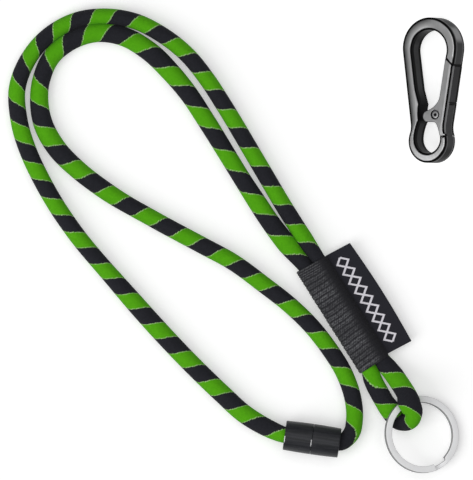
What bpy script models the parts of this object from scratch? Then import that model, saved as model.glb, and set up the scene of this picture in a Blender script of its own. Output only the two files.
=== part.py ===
"""Round cord lanyard laid out flat on a table.

One striped cord runs from a breakaway connector round a neck loop, through a webbing sleeve with a
sewn-in label, round a split key ring and back. A separate spring hook lies beside it.
Units are metres and +Z is up. The origin is under the middle of the whole layout.
"""
import math

import bmesh
import bpy
from mathutils import Matrix, Vector

# Clearances
SEAT_GAP = 0.0003
FIT_GAP = 0.0002

# Cord
CORD_DIAMETER = 0.0072
CORD_END_DIAMETER = 0.0062
STRAND_DIAMETER = 0.0060
LOOP_DIAMETER = 0.0059
CORD_STEP = 0.0165
LOOP_STEP = 0.0040
CORD_TURN = math.radians(17.0)

# Webbing sleeve round two strands of the cord
SLEEVE_X = 0.0455
SLEEVE_Y = -0.0314
SLEEVE_ANGLE = math.radians(-57.8)
SLEEVE_LENGTH = 0.0500
WEBBING_THICKNESS = 0.0009
STRAND_GAP = 0.0004
STRAND_JOIN_DEPTH = 0.0030
STRAND_JOIN_GAP = 0.0008
LOOP_BEND_REACH = 0.0040

# Folded label in the side seam of the sleeve
LABEL_LENGTH = 0.0485
LABEL_REACH = 0.0110
LABEL_PLY = 0.0004
LABEL_FOLD_GAP = 0.0003

# Breakaway connector, with its socket half to the right
CONNECTOR_X = 0.0320
CONNECTOR_Y = -0.0843
CONNECTOR_ANGLE = math.radians(-8.2)
BARREL_LENGTH = 0.0113
BARREL_MIDDLE_RADIUS = 0.0062
BARREL_END_RADIUS = 0.00595
BARREL_EDGE = 0.0004
BARREL_WALL = 0.0015
BARREL_SHOULDER = 0.0020
FERRULE_LENGTH = 0.0042
FERRULE_CRIMP = 0.0004
INSERT_FLOOR = 0.0009
LIP_LENGTH = 0.0009
LIP_RADIUS = 0.0031
SOCKET_RADIUS = 0.0036
FINGER_WALL = 0.0011
FINGER_END_GAP = 0.0007
BARB_LENGTH = 0.0008
FINGER_SLOT = 0.0008

# Split ring of two flat coils
RING_FROM_MOUTH_X = 0.0196
RING_FROM_MOUTH_Y = -0.0298
RING_DIAMETER = 0.0320
RING_BAND = 0.0027
RING_WIRE = 0.0012
RING_COIL_GAP = 0.00025
RING_EDGE = 0.0003
RING_TILT = math.radians(15.5)
RING_HIGH_SIDE = math.radians(200.0)
RING_SPLIT_ANGLE = math.radians(-68.6)
RING_RAMP = math.radians(24.0)
RING_COIL_POINTS = 36
RING_RAMP_POINTS = 8

# Spring hook, drawn about the middle of its length and thickness, and leaning on its left edge
HOOK_X = 0.08305
HOOK_Y = 0.06335
HOOK_LEAN = math.radians(31.3)
HOOK_TURN = math.radians(1.1)
HOOK_LENGTH = 0.0613
HOOK_THICKNESS = 0.0082
HOOK_RADIUS = 0.0128
HOOK_BAND = 0.0041
HOOK_CROWN = 0.0050
HOOK_EDGE = 0.0006
SIDE_TAPER = math.radians(8.4)
WAIST_RADIUS = 0.0090
EYE_RADIUS = 0.0091
EYE_BAND = 0.0028
EYE_END_RISE = 0.0022
BORE_RISE = 0.0010
BORE_START_DEG = 176
NOSE_INNER_DROP = 0.0171
NOSE_OUTER_DROP = 0.0201
SPINE_STEP_X = 0.0042
SPINE_STEP_RISE = 0.0156
SPINE_SWELL = 0.0062
SPINE_CUSP_RISE = 0.0086
SPINE_RECESS = 0.0004
SPINE_FLARE = math.radians(62)

# Gate of the hook, its pivot and its spring
PIVOT_X = 0.0037
PIVOT_RISE = 0.0112
GATE_KNEE_RISE = 0.0194
LOBE_X = 0.0002
LOBE_RISE = 0.0104
LOBE_RADIUS = 0.0024
LOBE_START_DEG = 110
LOBE_END_DEG = 245
GATE_THROAT_X = 0.0032
GATE_THROAT_RISE = 0.0081
CHEEK = 0.0017
WEB_END_RISE = 0.0156
KNUCKLE_RADIUS = 0.0029
KNUCKLE_START_DEG = -85
KNUCKLE_END_DEG = -295
RIVET_RADIUS = 0.0010
RIVET_HEAD_RADIUS = 0.0019
RIVET_HEAD = 0.0008
RIVET_DIMPLE_RADIUS = 0.0005
RIVET_DIMPLE = 0.0006
POCKET_RADIUS = 0.0023
POCKET_DEPTH = 0.0022
SPRING_RADIUS = 0.00175
SPRING_WIRE = 0.0005
SPRING_PITCH = 0.0006
SPRING_TURNS = 2.5
SPRING_LEG = 0.0026
SPRING_TURN_POINTS = 10

# Route of the cord on the table, as (x, y, rise above the lie of a cord on the table)
OUTER_ROUTE = [
    (0.0150, -0.0806, 0.0012),
    (0.0092, -0.0776, 0.0003),
    (0.0036, -0.0740, 0.0),
    (-0.0061, -0.0653, 0.0),
    (-0.0157, -0.0561, 0.0),
    (-0.0341, -0.0369, 0.0),
    (-0.0516, -0.0170, 0.0),
    (-0.0686, 0.0033, 0.0),
    (-0.0762, 0.0143, 0.0),
    (-0.0828, 0.0258, 0.0),
    (-0.0884, 0.0378, 0.0),
    (-0.0923, 0.0505, 0.0),
    (-0.0934, 0.0637, 0.0),
    (-0.0891, 0.0762, 0.0),
    (-0.0812, 0.0862, 0.0),
    (-0.0697, 0.0929, 0.0),
    (-0.0563, 0.0950, 0.0),
    (-0.0431, 0.0929, 0.0),
    (-0.0313, 0.0869, 0.0),
    (-0.0209, 0.0786, 0.0),
    (-0.0125, 0.0683, 0.0),
    (-0.0053, 0.0572, 0.0),
    (0.0083, 0.0343, 0.0),
    (0.0218, 0.0115, 0.0),
    (0.0291, 0.0001, 0.0),
]
INNER_ROUTE = [
    (0.0207, -0.0019, 0.0),
    (0.0133, 0.0083, 0.0),
    (0.0001, 0.0298, 0.0),
    (-0.0131, 0.0511, 0.0),
    (-0.0200, 0.0616, 0.0),
    (-0.0281, 0.0713, 0.0),
    (-0.0372, 0.0800, 0.0),
    (-0.0480, 0.0857, 0.0),
    (-0.0600, 0.0868, 0.0),
    (-0.0710, 0.0831, 0.0),
    (-0.0790, 0.0761, 0.0),
    (-0.0829, 0.0675, 0.0),
    (-0.0837, 0.0590, 0.0),
    (-0.0822, 0.0498, 0.0),
    (-0.0762, 0.0387, 0.0),
    (-0.0674, 0.0297, 0.0),
    (-0.0575, 0.0220, 0.0),
    (-0.0358, 0.0092, 0.0),
    (-0.0137, -0.0027, 0.0),
    (-0.0024, -0.0088, 0.0),
    (0.0122, -0.0194, 0.0),
    (0.0225, -0.0275, 0.0),
    (0.0315, -0.0362, 0.0),
    (0.0393, -0.0461, 0.0),
    (0.0458, -0.0568, 0.0),
    (0.0496, -0.0687, 0.0004),
    (0.0500, -0.0757, 0.0012),
    (0.0487, -0.0818, 0.0021),
]

# Route of the fold round the ring, from the outer run's strand to the inner run's, as (x, y, z) with
# x and y from the sleeve's lower mouth
LOOP_ROUTE = [
    (0.0064, -0.0033, 0.0046),
    (0.0103, -0.0090, 0.0074),
    (0.0134, -0.0136, 0.0102),
    (0.0152, -0.0169, 0.0109),
    (0.0165, -0.0204, 0.0104),
    (0.0156, -0.0238, 0.0083),
    (0.0126, -0.0253, 0.0055),
    (0.0093, -0.0240, 0.0034),
    (0.0072, -0.0207, 0.0030),
    (0.0046, -0.0163, 0.0030),
    (0.0019, -0.0115, 0.0032),
    (-0.0007, -0.0067, 0.0037),
]

# Sizes that follow from the ones above
STRAND_OFFSET = (STRAND_DIAMETER + STRAND_GAP) / 2
SLEEVE_BORE = STRAND_DIAMETER / 2 + SEAT_GAP
SLEEVE_RADIUS = SLEEVE_BORE + WEBBING_THICKNESS
LABEL_THICKNESS = 2 * LABEL_PLY + LABEL_FOLD_GAP
CHAMBER_RADIUS = BARREL_END_RADIUS - BARREL_WALL
FERRULE_TOP = SEAT_GAP / 2 + BARREL_LENGTH - BARREL_SHOULDER - FIT_GAP
FERRULE_BOTTOM = FERRULE_TOP - FERRULE_LENGTH
INSERT_TOP = FERRULE_BOTTOM - SEAT_GAP
INSERT_BOTTOM = SEAT_GAP / 2 + FIT_GAP
FINGER_REACH = INSERT_TOP - INSERT_FLOOR - FINGER_END_GAP
RING_STACK = 2 * RING_WIRE + RING_COIL_GAP
RING_Z = RING_DIAMETER / 2 * math.sin(RING_TILT) + RING_STACK / 2 * math.cos(RING_TILT)
HOOK_TOP_Y = HOOK_LENGTH / 2 - HOOK_RADIUS
EYE_Y = EYE_RADIUS - HOOK_LENGTH / 2
EYE_END_Y = EYE_Y + EYE_END_RISE
EYE_BORE = EYE_RADIUS - EYE_BAND
NOSE_INNER_Y = HOOK_LENGTH / 2 - NOSE_INNER_DROP
NOSE_OUTER_Y = HOOK_LENGTH / 2 - NOSE_OUTER_DROP
PIVOT_Y = EYE_Y + PIVOT_RISE
GATE_KNEE_Y = EYE_Y + GATE_KNEE_RISE
LOBE_Y = EYE_Y + LOBE_RISE
WEB_END_Y = EYE_Y + WEB_END_RISE
SLOT_HALF = HOOK_THICKNESS / 2 - CHEEK
TONGUE_HALF = SLOT_HALF - SEAT_GAP
HOOK_Z = (
    (HOOK_RADIUS - HOOK_EDGE) * math.sin(HOOK_LEAN)
    + (HOOK_THICKNESS / 2 - HOOK_EDGE) * math.cos(HOOK_LEAN)
    + HOOK_EDGE
)
RIVET_HALF = HOOK_THICKNESS / 2 - FIT_GAP / 2
PIVOT = (PIVOT_X, PIVOT_Y)
EYE = (0.0, EYE_Y)
BORE = (0.0, EYE_Y + BORE_RISE)
TURN_STEPS = 32
WELD = 1e-6


def clear_scene():
    for obj in list(bpy.data.objects):
        bpy.data.objects.remove(obj, do_unlink=True)


def new_collection(name):
    group = bpy.data.collections.new(name)
    bpy.context.scene.collection.children.link(group)
    return group


def new_material(name, colour, roughness, metallic=0.0):
    material = bpy.data.materials.new(name)
    material.use_nodes = True
    shader = material.node_tree.nodes["Principled BSDF"]
    shader.inputs["Base Color"].default_value = (*colour, 1.0)
    shader.inputs["Roughness"].default_value = roughness
    shader.inputs["Metallic"].default_value = metallic
    return material


def new_frame(name, location, rotation=(0.0, 0.0, 0.0), parent=None):
    """An empty that carries the pieces of one assembly."""
    empty = bpy.data.objects.new(name, None)
    empty.location = location
    empty.rotation_euler = rotation
    empty.parent = parent
    empty.empty_display_size = CORD_DIAMETER
    PARTS.objects.link(empty)
    return empty


def new_part(name, data, material, parent=None, rotation=(0.0, 0.0, 0.0), location=(0.0, 0.0, 0.0)):
    part = bpy.data.objects.new(name, data)
    part.location = location
    part.rotation_euler = rotation
    part.parent = parent
    data.materials.append(material)
    PARTS.objects.link(part)
    return part


def boolean(part, tool_mesh, operation, parent, rotation=(0.0, 0.0, 0.0)):
    """Cut or join a part with a mesh that stands in the frame of the given parent."""
    tool = bpy.data.objects.new(tool_mesh.name, tool_mesh)
    tool.parent = parent
    tool.rotation_euler = rotation
    tool.hide_render = True
    tool.display_type = "WIRE"
    TOOLS.objects.link(tool)
    modifier = part.modifiers.new(operation.lower(), "BOOLEAN")
    modifier.operation = operation
    modifier.solver = "EXACT"
    modifier.object = tool


def arc(centre, radius, start, end, steps):
    """Points of an arc in plan, from one angle to the other in degrees."""
    angles = [math.radians(start + (end - start) * i / steps) for i in range(steps + 1)]
    return [(centre[0] + radius * math.cos(a), centre[1] + radius * math.sin(a)) for a in angles]


def bend(start, corner, end, steps):
    """Points of a smooth curve that turns a corner."""
    points = []
    for i in range(steps + 1):
        t = i / steps
        weights = ((1 - t) ** 2, 2 * t * (1 - t), t * t)
        ends = (start, corner, end)
        points.append(tuple(sum(w * p[k] for w, p in zip(weights, ends)) for k in (0, 1)))
    return points


def crossing(point, heading, other, other_heading):
    """Where two lines in plan cross."""
    gap = Vector(other) - Vector(point)
    spread = heading.cross(other_heading)
    return Vector(point) + heading * (gap.cross(other_heading) / spread)


def outline_curve(name, points, half_depth, edge=0.0):
    """A flat outline, extruded both ways from its plane, with rounded edges if asked."""
    curve = bpy.data.curves.new(name, "CURVE")
    curve.dimensions = "2D"
    curve.fill_mode = "BOTH"
    curve.extrude = half_depth - edge
    curve.bevel_depth = edge
    curve.bevel_resolution = 1
    curve.offset = -edge
    spline = curve.splines.new("POLY")
    spline.points.add(len(points) - 1)
    for point, place in zip(spline.points, points):
        point.co = (place[0], place[1], 0.0, 1.0)
    spline.use_cyclic_u = True
    return curve


def outline_mesh(name, points, half_depth, edge=0.0):
    """The same outline as a closed mesh, for a part that is cut or joined."""
    holder = bpy.data.objects.new(name, outline_curve(name, points, half_depth, edge))
    TOOLS.objects.link(holder)
    graph = bpy.context.evaluated_depsgraph_get()
    mesh = bpy.data.meshes.new_from_object(holder.evaluated_get(graph))
    bpy.data.objects.remove(holder, do_unlink=True)
    mesh.name = name
    weld = bmesh.new()
    weld.from_mesh(mesh)
    bmesh.ops.remove_doubles(weld, verts=weld.verts, dist=WELD)
    bmesh.ops.recalc_face_normals(weld, faces=weld.faces)
    weld.to_mesh(mesh)
    weld.free()
    return mesh


def box_mesh(name, low, high):
    mesh = bpy.data.meshes.new(name)
    build = bmesh.new()
    bmesh.ops.create_cube(build, size=1.0)
    size = Vector(high) - Vector(low)
    middle = (Vector(high) + Vector(low)) / 2
    place = Matrix.Translation(middle) @ Matrix.Diagonal((*size, 1.0))
    bmesh.ops.transform(build, matrix=place, verts=build.verts)
    build.to_mesh(mesh)
    build.free()
    return mesh


def disc_mesh(name, radius, low, high):
    """An upright cylinder about the origin."""
    mesh = bpy.data.meshes.new(name)
    build = bmesh.new()
    bmesh.ops.create_cone(
        build,
        cap_ends=True,
        segments=TURN_STEPS,
        radius1=radius,
        radius2=radius,
        depth=high - low,
        matrix=Matrix.Translation((0.0, 0.0, (low + high) / 2)),
    )
    build.to_mesh(mesh)
    build.free()
    return mesh


def turned_part(name, profile, closed, material, parent, rotation=(0.0, 0.0, 0.0)):
    """A profile of (radius, height) points turned about local Z, listed down its outer side."""
    mesh = bpy.data.meshes.new(name)
    build = bmesh.new()
    corners = [build.verts.new((radius, 0.0, height)) for radius, height in profile]
    pairs = list(zip(corners, corners[1:]))
    if closed:
        pairs.append((corners[-1], corners[0]))
    for pair in pairs:
        build.edges.new(pair)
    build.to_mesh(mesh)
    build.free()
    part = new_part(name, mesh, material, parent, rotation)
    screw = part.modifiers.new("turn", "SCREW")
    screw.steps = TURN_STEPS
    screw.render_steps = TURN_STEPS
    screw.use_merge_vertices = True
    screw.merge_threshold = WELD
    screw.use_smooth_shade = True
    return part


def smooth_route(points, per_span=24):
    """Dense points of a smooth curve through (x, y, z, diameter) points."""
    rows = [Vector(p) for p in points]
    marks = [0.0]
    for before, after in zip(rows, rows[1:]):
        marks.append(marks[-1] + (after - before).xyz.length)
    slopes = [(rows[1] - rows[0]) / marks[1]]
    for i in range(1, len(rows) - 1):
        back = marks[i] - marks[i - 1]
        ahead = marks[i + 1] - marks[i]
        come = (rows[i] - rows[i - 1]) / back
        go = (rows[i + 1] - rows[i]) / ahead
        slopes.append((come * ahead + go * back) / (back + ahead))
    slopes.append((rows[-1] - rows[-2]) / (marks[-1] - marks[-2]))
    dense = []
    for i in range(len(rows) - 1):
        span = marks[i + 1] - marks[i]
        for k in range(per_span):
            t = k / per_span
            point = (
                rows[i] * (2 * t**3 - 3 * t**2 + 1)
                + rows[i + 1] * (3 * t**2 - 2 * t**3)
                + slopes[i] * span * (t**3 - 2 * t**2 + t)
                + slopes[i + 1] * span * (t**3 - t**2)
            )
            point.w = rows[i].w + (rows[i + 1].w - rows[i].w) * t
            dense.append(point)
    dense.append(rows[-1])
    return dense


def thin_route(dense, step=CORD_STEP):
    """Fewer points: one for each step along the cord, turn of it or change in its diameter."""
    kept = [dense[0]]
    travel = 0.0
    heading = (dense[1] - dense[0]).xyz
    for before, point, after in zip(dense, dense[1:], dense[2:]):
        travel += (point - before).xyz.length
        turned = (after - point).xyz.angle(heading) > CORD_TURN
        swelled = abs(point.w - kept[-1].w) > FIT_GAP
        if travel > step or turned or swelled:
            kept.append(point)
            travel = 0.0
            heading = (after - point).xyz
    kept.append(dense[-1])
    return kept


def tube_part(name, points, material, resolution=4, parent=None):
    """A tube along (x, y, z, diameter) points, with flat filled ends."""
    curve = bpy.data.curves.new(name, "CURVE")
    curve.dimensions = "3D"
    curve.bevel_depth = 0.5
    curve.bevel_resolution = resolution
    curve.use_fill_caps = True
    spline = curve.splines.new("POLY")
    spline.points.add(len(points) - 1)
    for place, point in zip(points, spline.points):
        point.co = (place[0], place[1], place[2], 1.0)
        point.radius = place[3]
    spline.use_smooth = True
    return new_part(name, curve, material, parent)


def sleeve_point(along, across):
    """A world point of the sleeve's middle plane, from the middle of the sleeve."""
    turn = Matrix.Rotation(SLEEVE_ANGLE, 3, "Z")
    return Vector((SLEEVE_X, SLEEVE_Y, SLEEVE_RADIUS)) + turn @ Vector((along, across, 0.0))


def connector_point(along):
    """A world point of the connector's axis, from its seam towards the socket half."""
    turn = Matrix.Rotation(CONNECTOR_ANGLE, 3, "Z")
    return Vector((CONNECTOR_X, CONNECTOR_Y, BARREL_MIDDLE_RADIUS)) + turn @ Vector((along, 0.0, 0.0))


def strand_points(across):
    """A strand inside the sleeve, from where it meets the loop to just outside the upper mouth."""
    inner_end = SLEEVE_LENGTH / 2 - STRAND_JOIN_DEPTH
    mouth = -SLEEVE_LENGTH / 2 - SEAT_GAP
    return [(*sleeve_point(along, across), STRAND_DIAMETER) for along in (inner_end, 0.0, mouth)]


def barrel_points(side):
    """A cord end in one half of the connector, from its cut end to just outside the mouth."""
    cut_end = side * (FERRULE_BOTTOM + SEAT_GAP / 2)
    shoulder = side * FERRULE_TOP
    mouth = side * (SEAT_GAP + BARREL_LENGTH)
    squeezed = (CORD_END_DIAMETER + CORD_DIAMETER) / 2
    stations = ((cut_end, CORD_END_DIAMETER), (shoulder, CORD_END_DIAMETER), (mouth, squeezed))
    return [(*connector_point(along), diameter) for along, diameter in stations]


def table_points(route):
    """The chosen points of a run that lies on the table."""
    return [(x, y, CORD_DIAMETER / 2 + rise, CORD_DIAMETER) for x, y, rise in route]


def build_cord():
    green = new_material("striped_cord", (0.09, 0.31, 0.015), 0.85)
    outer = barrel_points(-1) + table_points(OUTER_ROUTE) + strand_points(STRAND_OFFSET)[::-1]
    inner = strand_points(-STRAND_OFFSET) + table_points(INNER_ROUTE) + barrel_points(1)[::-1]
    tube_part("cord_outer_run", thin_route(smooth_route(outer)), green)
    tube_part("cord_inner_run", thin_route(smooth_route(inner)), green)
    # The fold's own frame is where it bends, just outside the sleeve's lower mouth
    inside = SLEEVE_LENGTH / 2 - STRAND_JOIN_DEPTH + STRAND_JOIN_GAP
    mouth = SLEEVE_LENGTH / 2 + SEAT_GAP
    bend_at = sleeve_point(SLEEVE_LENGTH / 2 + LOOP_BEND_REACH, 0.0)
    loop = [(*sleeve_point(along, STRAND_OFFSET), STRAND_DIAMETER) for along in (inside, mouth)]
    start = sleeve_point(SLEEVE_LENGTH / 2, 0.0)
    loop += [(start.x + x, start.y + y, z, LOOP_DIAMETER) for x, y, z in LOOP_ROUTE]
    loop += [(*sleeve_point(along, -STRAND_OFFSET), STRAND_DIAMETER) for along in (mouth, inside)]
    local = [(x - bend_at.x, y - bend_at.y, z - bend_at.z, d) for x, y, z, d in loop]
    frame = new_frame("loop_bend_frame", bend_at)
    tube_part("cord_ring_loop", thin_route(smooth_route(local), LOOP_STEP), green, parent=frame)


def build_sleeve():
    black = new_material("ribbed_webbing", (0.042, 0.043, 0.047), 0.9)
    label_black = new_material("label_weave", (0.024, 0.025, 0.029), 0.85)
    frame = new_frame("sleeve_frame", (SLEEVE_X, SLEEVE_Y, SLEEVE_RADIUS), (0.0, 0.0, SLEEVE_ANGLE))
    # Outlines are drawn across the sleeve and extruded along it
    along = (math.pi / 2, 0.0, math.pi / 2)
    left = (-STRAND_OFFSET, 0.0)
    right = (STRAND_OFFSET, 0.0)
    slit = LABEL_THICKNESS / 2 + SEAT_GAP
    outside = math.degrees(math.asin(slit / SLEEVE_RADIUS))
    inside = math.degrees(math.asin(slit / SLEEVE_BORE))
    wrap = arc(right, SLEEVE_RADIUS, outside, 90, 8)
    wrap += arc(left, SLEEVE_RADIUS, 90, 270, 16)
    wrap += arc(right, SLEEVE_RADIUS, 270, 360 - outside, 8)
    wrap += arc(right, SLEEVE_BORE, 360 - inside, 270, 8)
    wrap += arc(left, SLEEVE_BORE, 270, 90, 16)
    wrap += arc(right, SLEEVE_BORE, 90, inside, 8)
    wrapped = outline_curve("webbing_sleeve", wrap, SLEEVE_LENGTH / 2)
    new_part("webbing_sleeve", wrapped, black, frame, along)
    # The label's two plies lie between the webbing's edges and fold at the outer side
    seam = STRAND_OFFSET + SLEEVE_RADIUS
    seam_frame = new_frame("label_seam_frame", ((LABEL_LENGTH - SLEEVE_LENGTH) / 2, seam, 0.0), parent=frame)
    fold = (LABEL_REACH - LABEL_THICKNESS / 2, 0.0)
    tail = -WEBBING_THICKNESS
    hairpin = [(tail, -LABEL_THICKNESS / 2)]
    hairpin += arc(fold, LABEL_THICKNESS / 2, -90, 90, 8)
    hairpin += [(tail, LABEL_THICKNESS / 2), (tail, LABEL_FOLD_GAP / 2)]
    hairpin += arc(fold, LABEL_FOLD_GAP / 2, 90, -90, 4)
    hairpin += [(tail, -LABEL_FOLD_GAP / 2)]
    folded = outline_curve("woven_label", hairpin, LABEL_LENGTH / 2)
    new_part("woven_label", folded, label_black, seam_frame, along)


def barrel_profile():
    bottom = SEAT_GAP / 2
    top = bottom + BARREL_LENGTH
    mouth = CORD_DIAMETER / 2 + FIT_GAP
    belly_steps = 6
    belly = []
    for i in range(belly_steps + 1):
        height = top - BARREL_EDGE - (BARREL_LENGTH - 2 * BARREL_EDGE) * i / belly_steps
        taper = (BARREL_MIDDLE_RADIUS - BARREL_END_RADIUS) * ((height - bottom) / BARREL_LENGTH) ** 2
        belly.append((BARREL_MIDDLE_RADIUS - taper, height))
    return [
        (mouth, top - BARREL_SHOULDER),
        (mouth, top),
        (BARREL_END_RADIUS - BARREL_EDGE, top),
        *belly,
        (BARREL_MIDDLE_RADIUS - BARREL_EDGE, bottom),
        (CHAMBER_RADIUS, bottom),
        (CHAMBER_RADIUS, top - BARREL_SHOULDER),
    ]


def ferrule_profile():
    outer = CHAMBER_RADIUS - FIT_GAP
    inner = CORD_END_DIAMETER / 2 + FIT_GAP
    return [
        (inner, FERRULE_TOP),
        (outer, FERRULE_TOP),
        (outer, FERRULE_TOP - FERRULE_LENGTH / 4),
        (outer - FERRULE_CRIMP, FERRULE_TOP - FERRULE_LENGTH / 2),
        (outer, FERRULE_TOP - FERRULE_LENGTH * 3 / 4),
        (outer, FERRULE_BOTTOM),
        (inner, FERRULE_BOTTOM),
    ]


def socket_insert_profile():
    outer = CHAMBER_RADIUS - FIT_GAP
    return [
        (0.0, INSERT_TOP),
        (outer, INSERT_TOP),
        (outer, INSERT_BOTTOM),
        (LIP_RADIUS + LIP_LENGTH / 2, INSERT_BOTTOM),
        (LIP_RADIUS, INSERT_BOTTOM + LIP_LENGTH / 2),
        (LIP_RADIUS, INSERT_BOTTOM + LIP_LENGTH),
        (SOCKET_RADIUS, INSERT_BOTTOM + LIP_LENGTH),
        (SOCKET_RADIUS, INSERT_TOP - INSERT_FLOOR),
        (0.0, INSERT_TOP - INSERT_FLOOR),
    ]


def snap_collar_profile():
    """Base in the plug half, and fingers that reach across the seam into the socket half."""
    outer = CHAMBER_RADIUS - FIT_GAP
    finger = LIP_RADIUS - FIT_GAP
    barb = SOCKET_RADIUS - FIT_GAP
    catch = INSERT_BOTTOM + LIP_LENGTH + FIT_GAP
    return [
        (0.0, INSERT_TOP),
        (outer, INSERT_TOP),
        (outer, INSERT_BOTTOM),
        (finger, INSERT_BOTTOM),
        (finger, -catch),
        (barb, -catch),
        (barb, -catch - BARB_LENGTH / 2),
        (finger - BARB_LENGTH / 2, -FINGER_REACH),
        (finger - FINGER_WALL, -FINGER_REACH),
        (finger - FINGER_WALL, INSERT_TOP - INSERT_FLOOR),
        (0.0, INSERT_TOP - INSERT_FLOOR),
    ]


def build_connector():
    grey = new_material("connector_plastic", (0.036, 0.037, 0.041), 0.45)
    white = new_material("snap_plastic", (0.62, 0.62, 0.60), 0.4)
    steel = new_material("crimp_steel", (0.55, 0.55, 0.56), 0.3, 1.0)
    place = (CONNECTOR_X, CONNECTOR_Y, BARREL_MIDDLE_RADIUS)
    frame = new_frame("connector_frame", place, (0.0, math.pi / 2, CONNECTOR_ANGLE))
    about = (math.pi, 0.0, 0.0)
    turned_part("socket_barrel", barrel_profile(), True, grey, frame)
    turned_part("socket_ferrule", ferrule_profile(), True, steel, frame)
    turned_part("socket_insert", socket_insert_profile(), False, white, frame)
    turned_part("plug_barrel", barrel_profile(), True, grey, frame, about)
    turned_part("plug_ferrule", ferrule_profile(), True, steel, frame, about)
    collar = turned_part("plug_snap_collar", snap_collar_profile(), False, white, frame, about)
    half = FINGER_SLOT / 2
    low = (-CHAMBER_RADIUS, -half, -FINGER_REACH - SEAT_GAP)
    high = (CHAMBER_RADIUS, half, INSERT_BOTTOM)
    for turn in (0.0, math.pi / 2):
        slot = box_mesh("finger_slot", low, high)
        slot.transform(Matrix.Rotation(turn, 4, "Z"))
        boolean(collar, slot, "DIFFERENCE", frame, about)


def ring_wire_points():
    """Upper coil, ramp below its own start, then lower coil, turning clockwise from above."""
    radius = (RING_DIAMETER - RING_BAND) / 2
    level = (RING_WIRE + RING_COIL_GAP) / 2
    coil = 2 * math.pi - RING_RAMP
    stations = [coil * i / RING_COIL_POINTS for i in range(RING_COIL_POINTS)]
    stations += [coil + RING_RAMP * i / RING_RAMP_POINTS for i in range(RING_RAMP_POINTS)]
    stations += [2 * math.pi + coil * i / RING_COIL_POINTS for i in range(RING_COIL_POINTS + 1)]
    points = []
    for turned in stations:
        fall = min(max((turned - coil) / RING_RAMP, 0.0), 1.0)
        angle = RING_SPLIT_ANGLE - turned
        points.append((radius * math.cos(angle), radius * math.sin(angle), level * (1 - 2 * fall)))
    return points


def build_split_ring():
    steel = new_material("ring_steel", (0.72, 0.72, 0.73), 0.25, 1.0)
    lean_axis = Vector((math.sin(RING_HIGH_SIDE), -math.cos(RING_HIGH_SIDE), 0.0))
    lean = Matrix.Rotation(RING_TILT, 3, lean_axis).to_euler()
    mouth = sleeve_point(SLEEVE_LENGTH / 2, 0.0)
    place = (mouth.x + RING_FROM_MOUTH_X, mouth.y + RING_FROM_MOUTH_Y, RING_Z)
    frame = new_frame("ring_frame", place, lean)
    # Wire section with trimmed corners, wide across the band
    half_band = RING_BAND / 2
    half_wire = RING_WIRE / 2
    corners = []
    for x_side, y_side in ((1, 1), (1, -1), (-1, -1), (-1, 1)):
        trims = [(0.0, RING_EDGE), (RING_EDGE, 0.0)]
        if x_side == y_side:
            trims.reverse()
        corners += [(x_side * (half_band - a), y_side * (half_wire - b)) for a, b in trims]
    section = bpy.data.objects.new("ring_section", outline_curve("ring_section", corners, 0.0))
    section.data.fill_mode = "NONE"
    section.hide_render = True
    section.display_type = "WIRE"
    TOOLS.objects.link(section)
    wire = bpy.data.curves.new("split_ring", "CURVE")
    wire.dimensions = "3D"
    wire.twist_mode = "Z_UP"
    wire.bevel_mode = "OBJECT"
    wire.bevel_object = section
    wire.use_fill_caps = True
    spline = wire.splines.new("POLY")
    points = ring_wire_points()
    spline.points.add(len(points) - 1)
    for point, place in zip(spline.points, points):
        point.co = (*place, 1.0)
    new_part("split_ring", wire, steel, frame)


def side_x(y):
    """Outer side line of the hook at a height, on the right."""
    touch_x = HOOK_RADIUS * math.cos(SIDE_TAPER)
    touch_y = HOOK_TOP_Y - HOOK_RADIUS * math.sin(SIDE_TAPER)
    return touch_x - (touch_y - y) * math.tan(SIDE_TAPER)


def inner_x(y):
    """Inner side line of the hook at a height, on the right."""
    return side_x(y) - HOOK_BAND / math.cos(SIDE_TAPER)


def waist():
    """Centre of the round waist on the right, and its angles where it meets the side line and the eye."""
    outward = Vector((math.cos(SIDE_TAPER), -math.sin(SIDE_TAPER)))
    down = Vector((-math.sin(SIDE_TAPER), -math.cos(SIDE_TAPER)))
    offset = Vector((side_x(0.0), 0.0)) + outward * WAIST_RADIUS - Vector(EYE)
    reach = EYE_RADIUS + WAIST_RADIUS
    half = offset.dot(down)
    along = -half - math.sqrt(half**2 - offset.length_squared + reach**2)
    from_eye = offset + down * along
    eye_angle = math.degrees(math.atan2(-from_eye.y, -from_eye.x)) % 360
    return Vector(EYE) + from_eye, 180 - math.degrees(SIDE_TAPER), eye_angle


def angle_at(y, centre, radius):
    """Angle on a circle at a height, on the right."""
    return math.degrees(math.asin((y - centre[1]) / radius))


def outer_side(bottom_y, top_y):
    """Outer edge on the right, upwards from a height on the eye to a height on the side line."""
    centre, side_angle, eye_angle = waist()
    edge = arc(EYE, EYE_RADIUS, 0, eye_angle - 180, 6)
    edge += arc(centre, WAIST_RADIUS, eye_angle, side_angle, 6)[1:]
    edge.append((side_x(top_y), top_y))
    foot_x = EYE_RADIUS
    for (x0, y0), (x1, y1) in zip(edge, edge[1:]):
        if y0 <= bottom_y < y1:
            foot_x = x0 + (x1 - x0) * (bottom_y - y0) / (y1 - y0)
    return [(foot_x, bottom_y)] + [(x, y) for x, y in edge if y > bottom_y + HOOK_EDGE]


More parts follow.
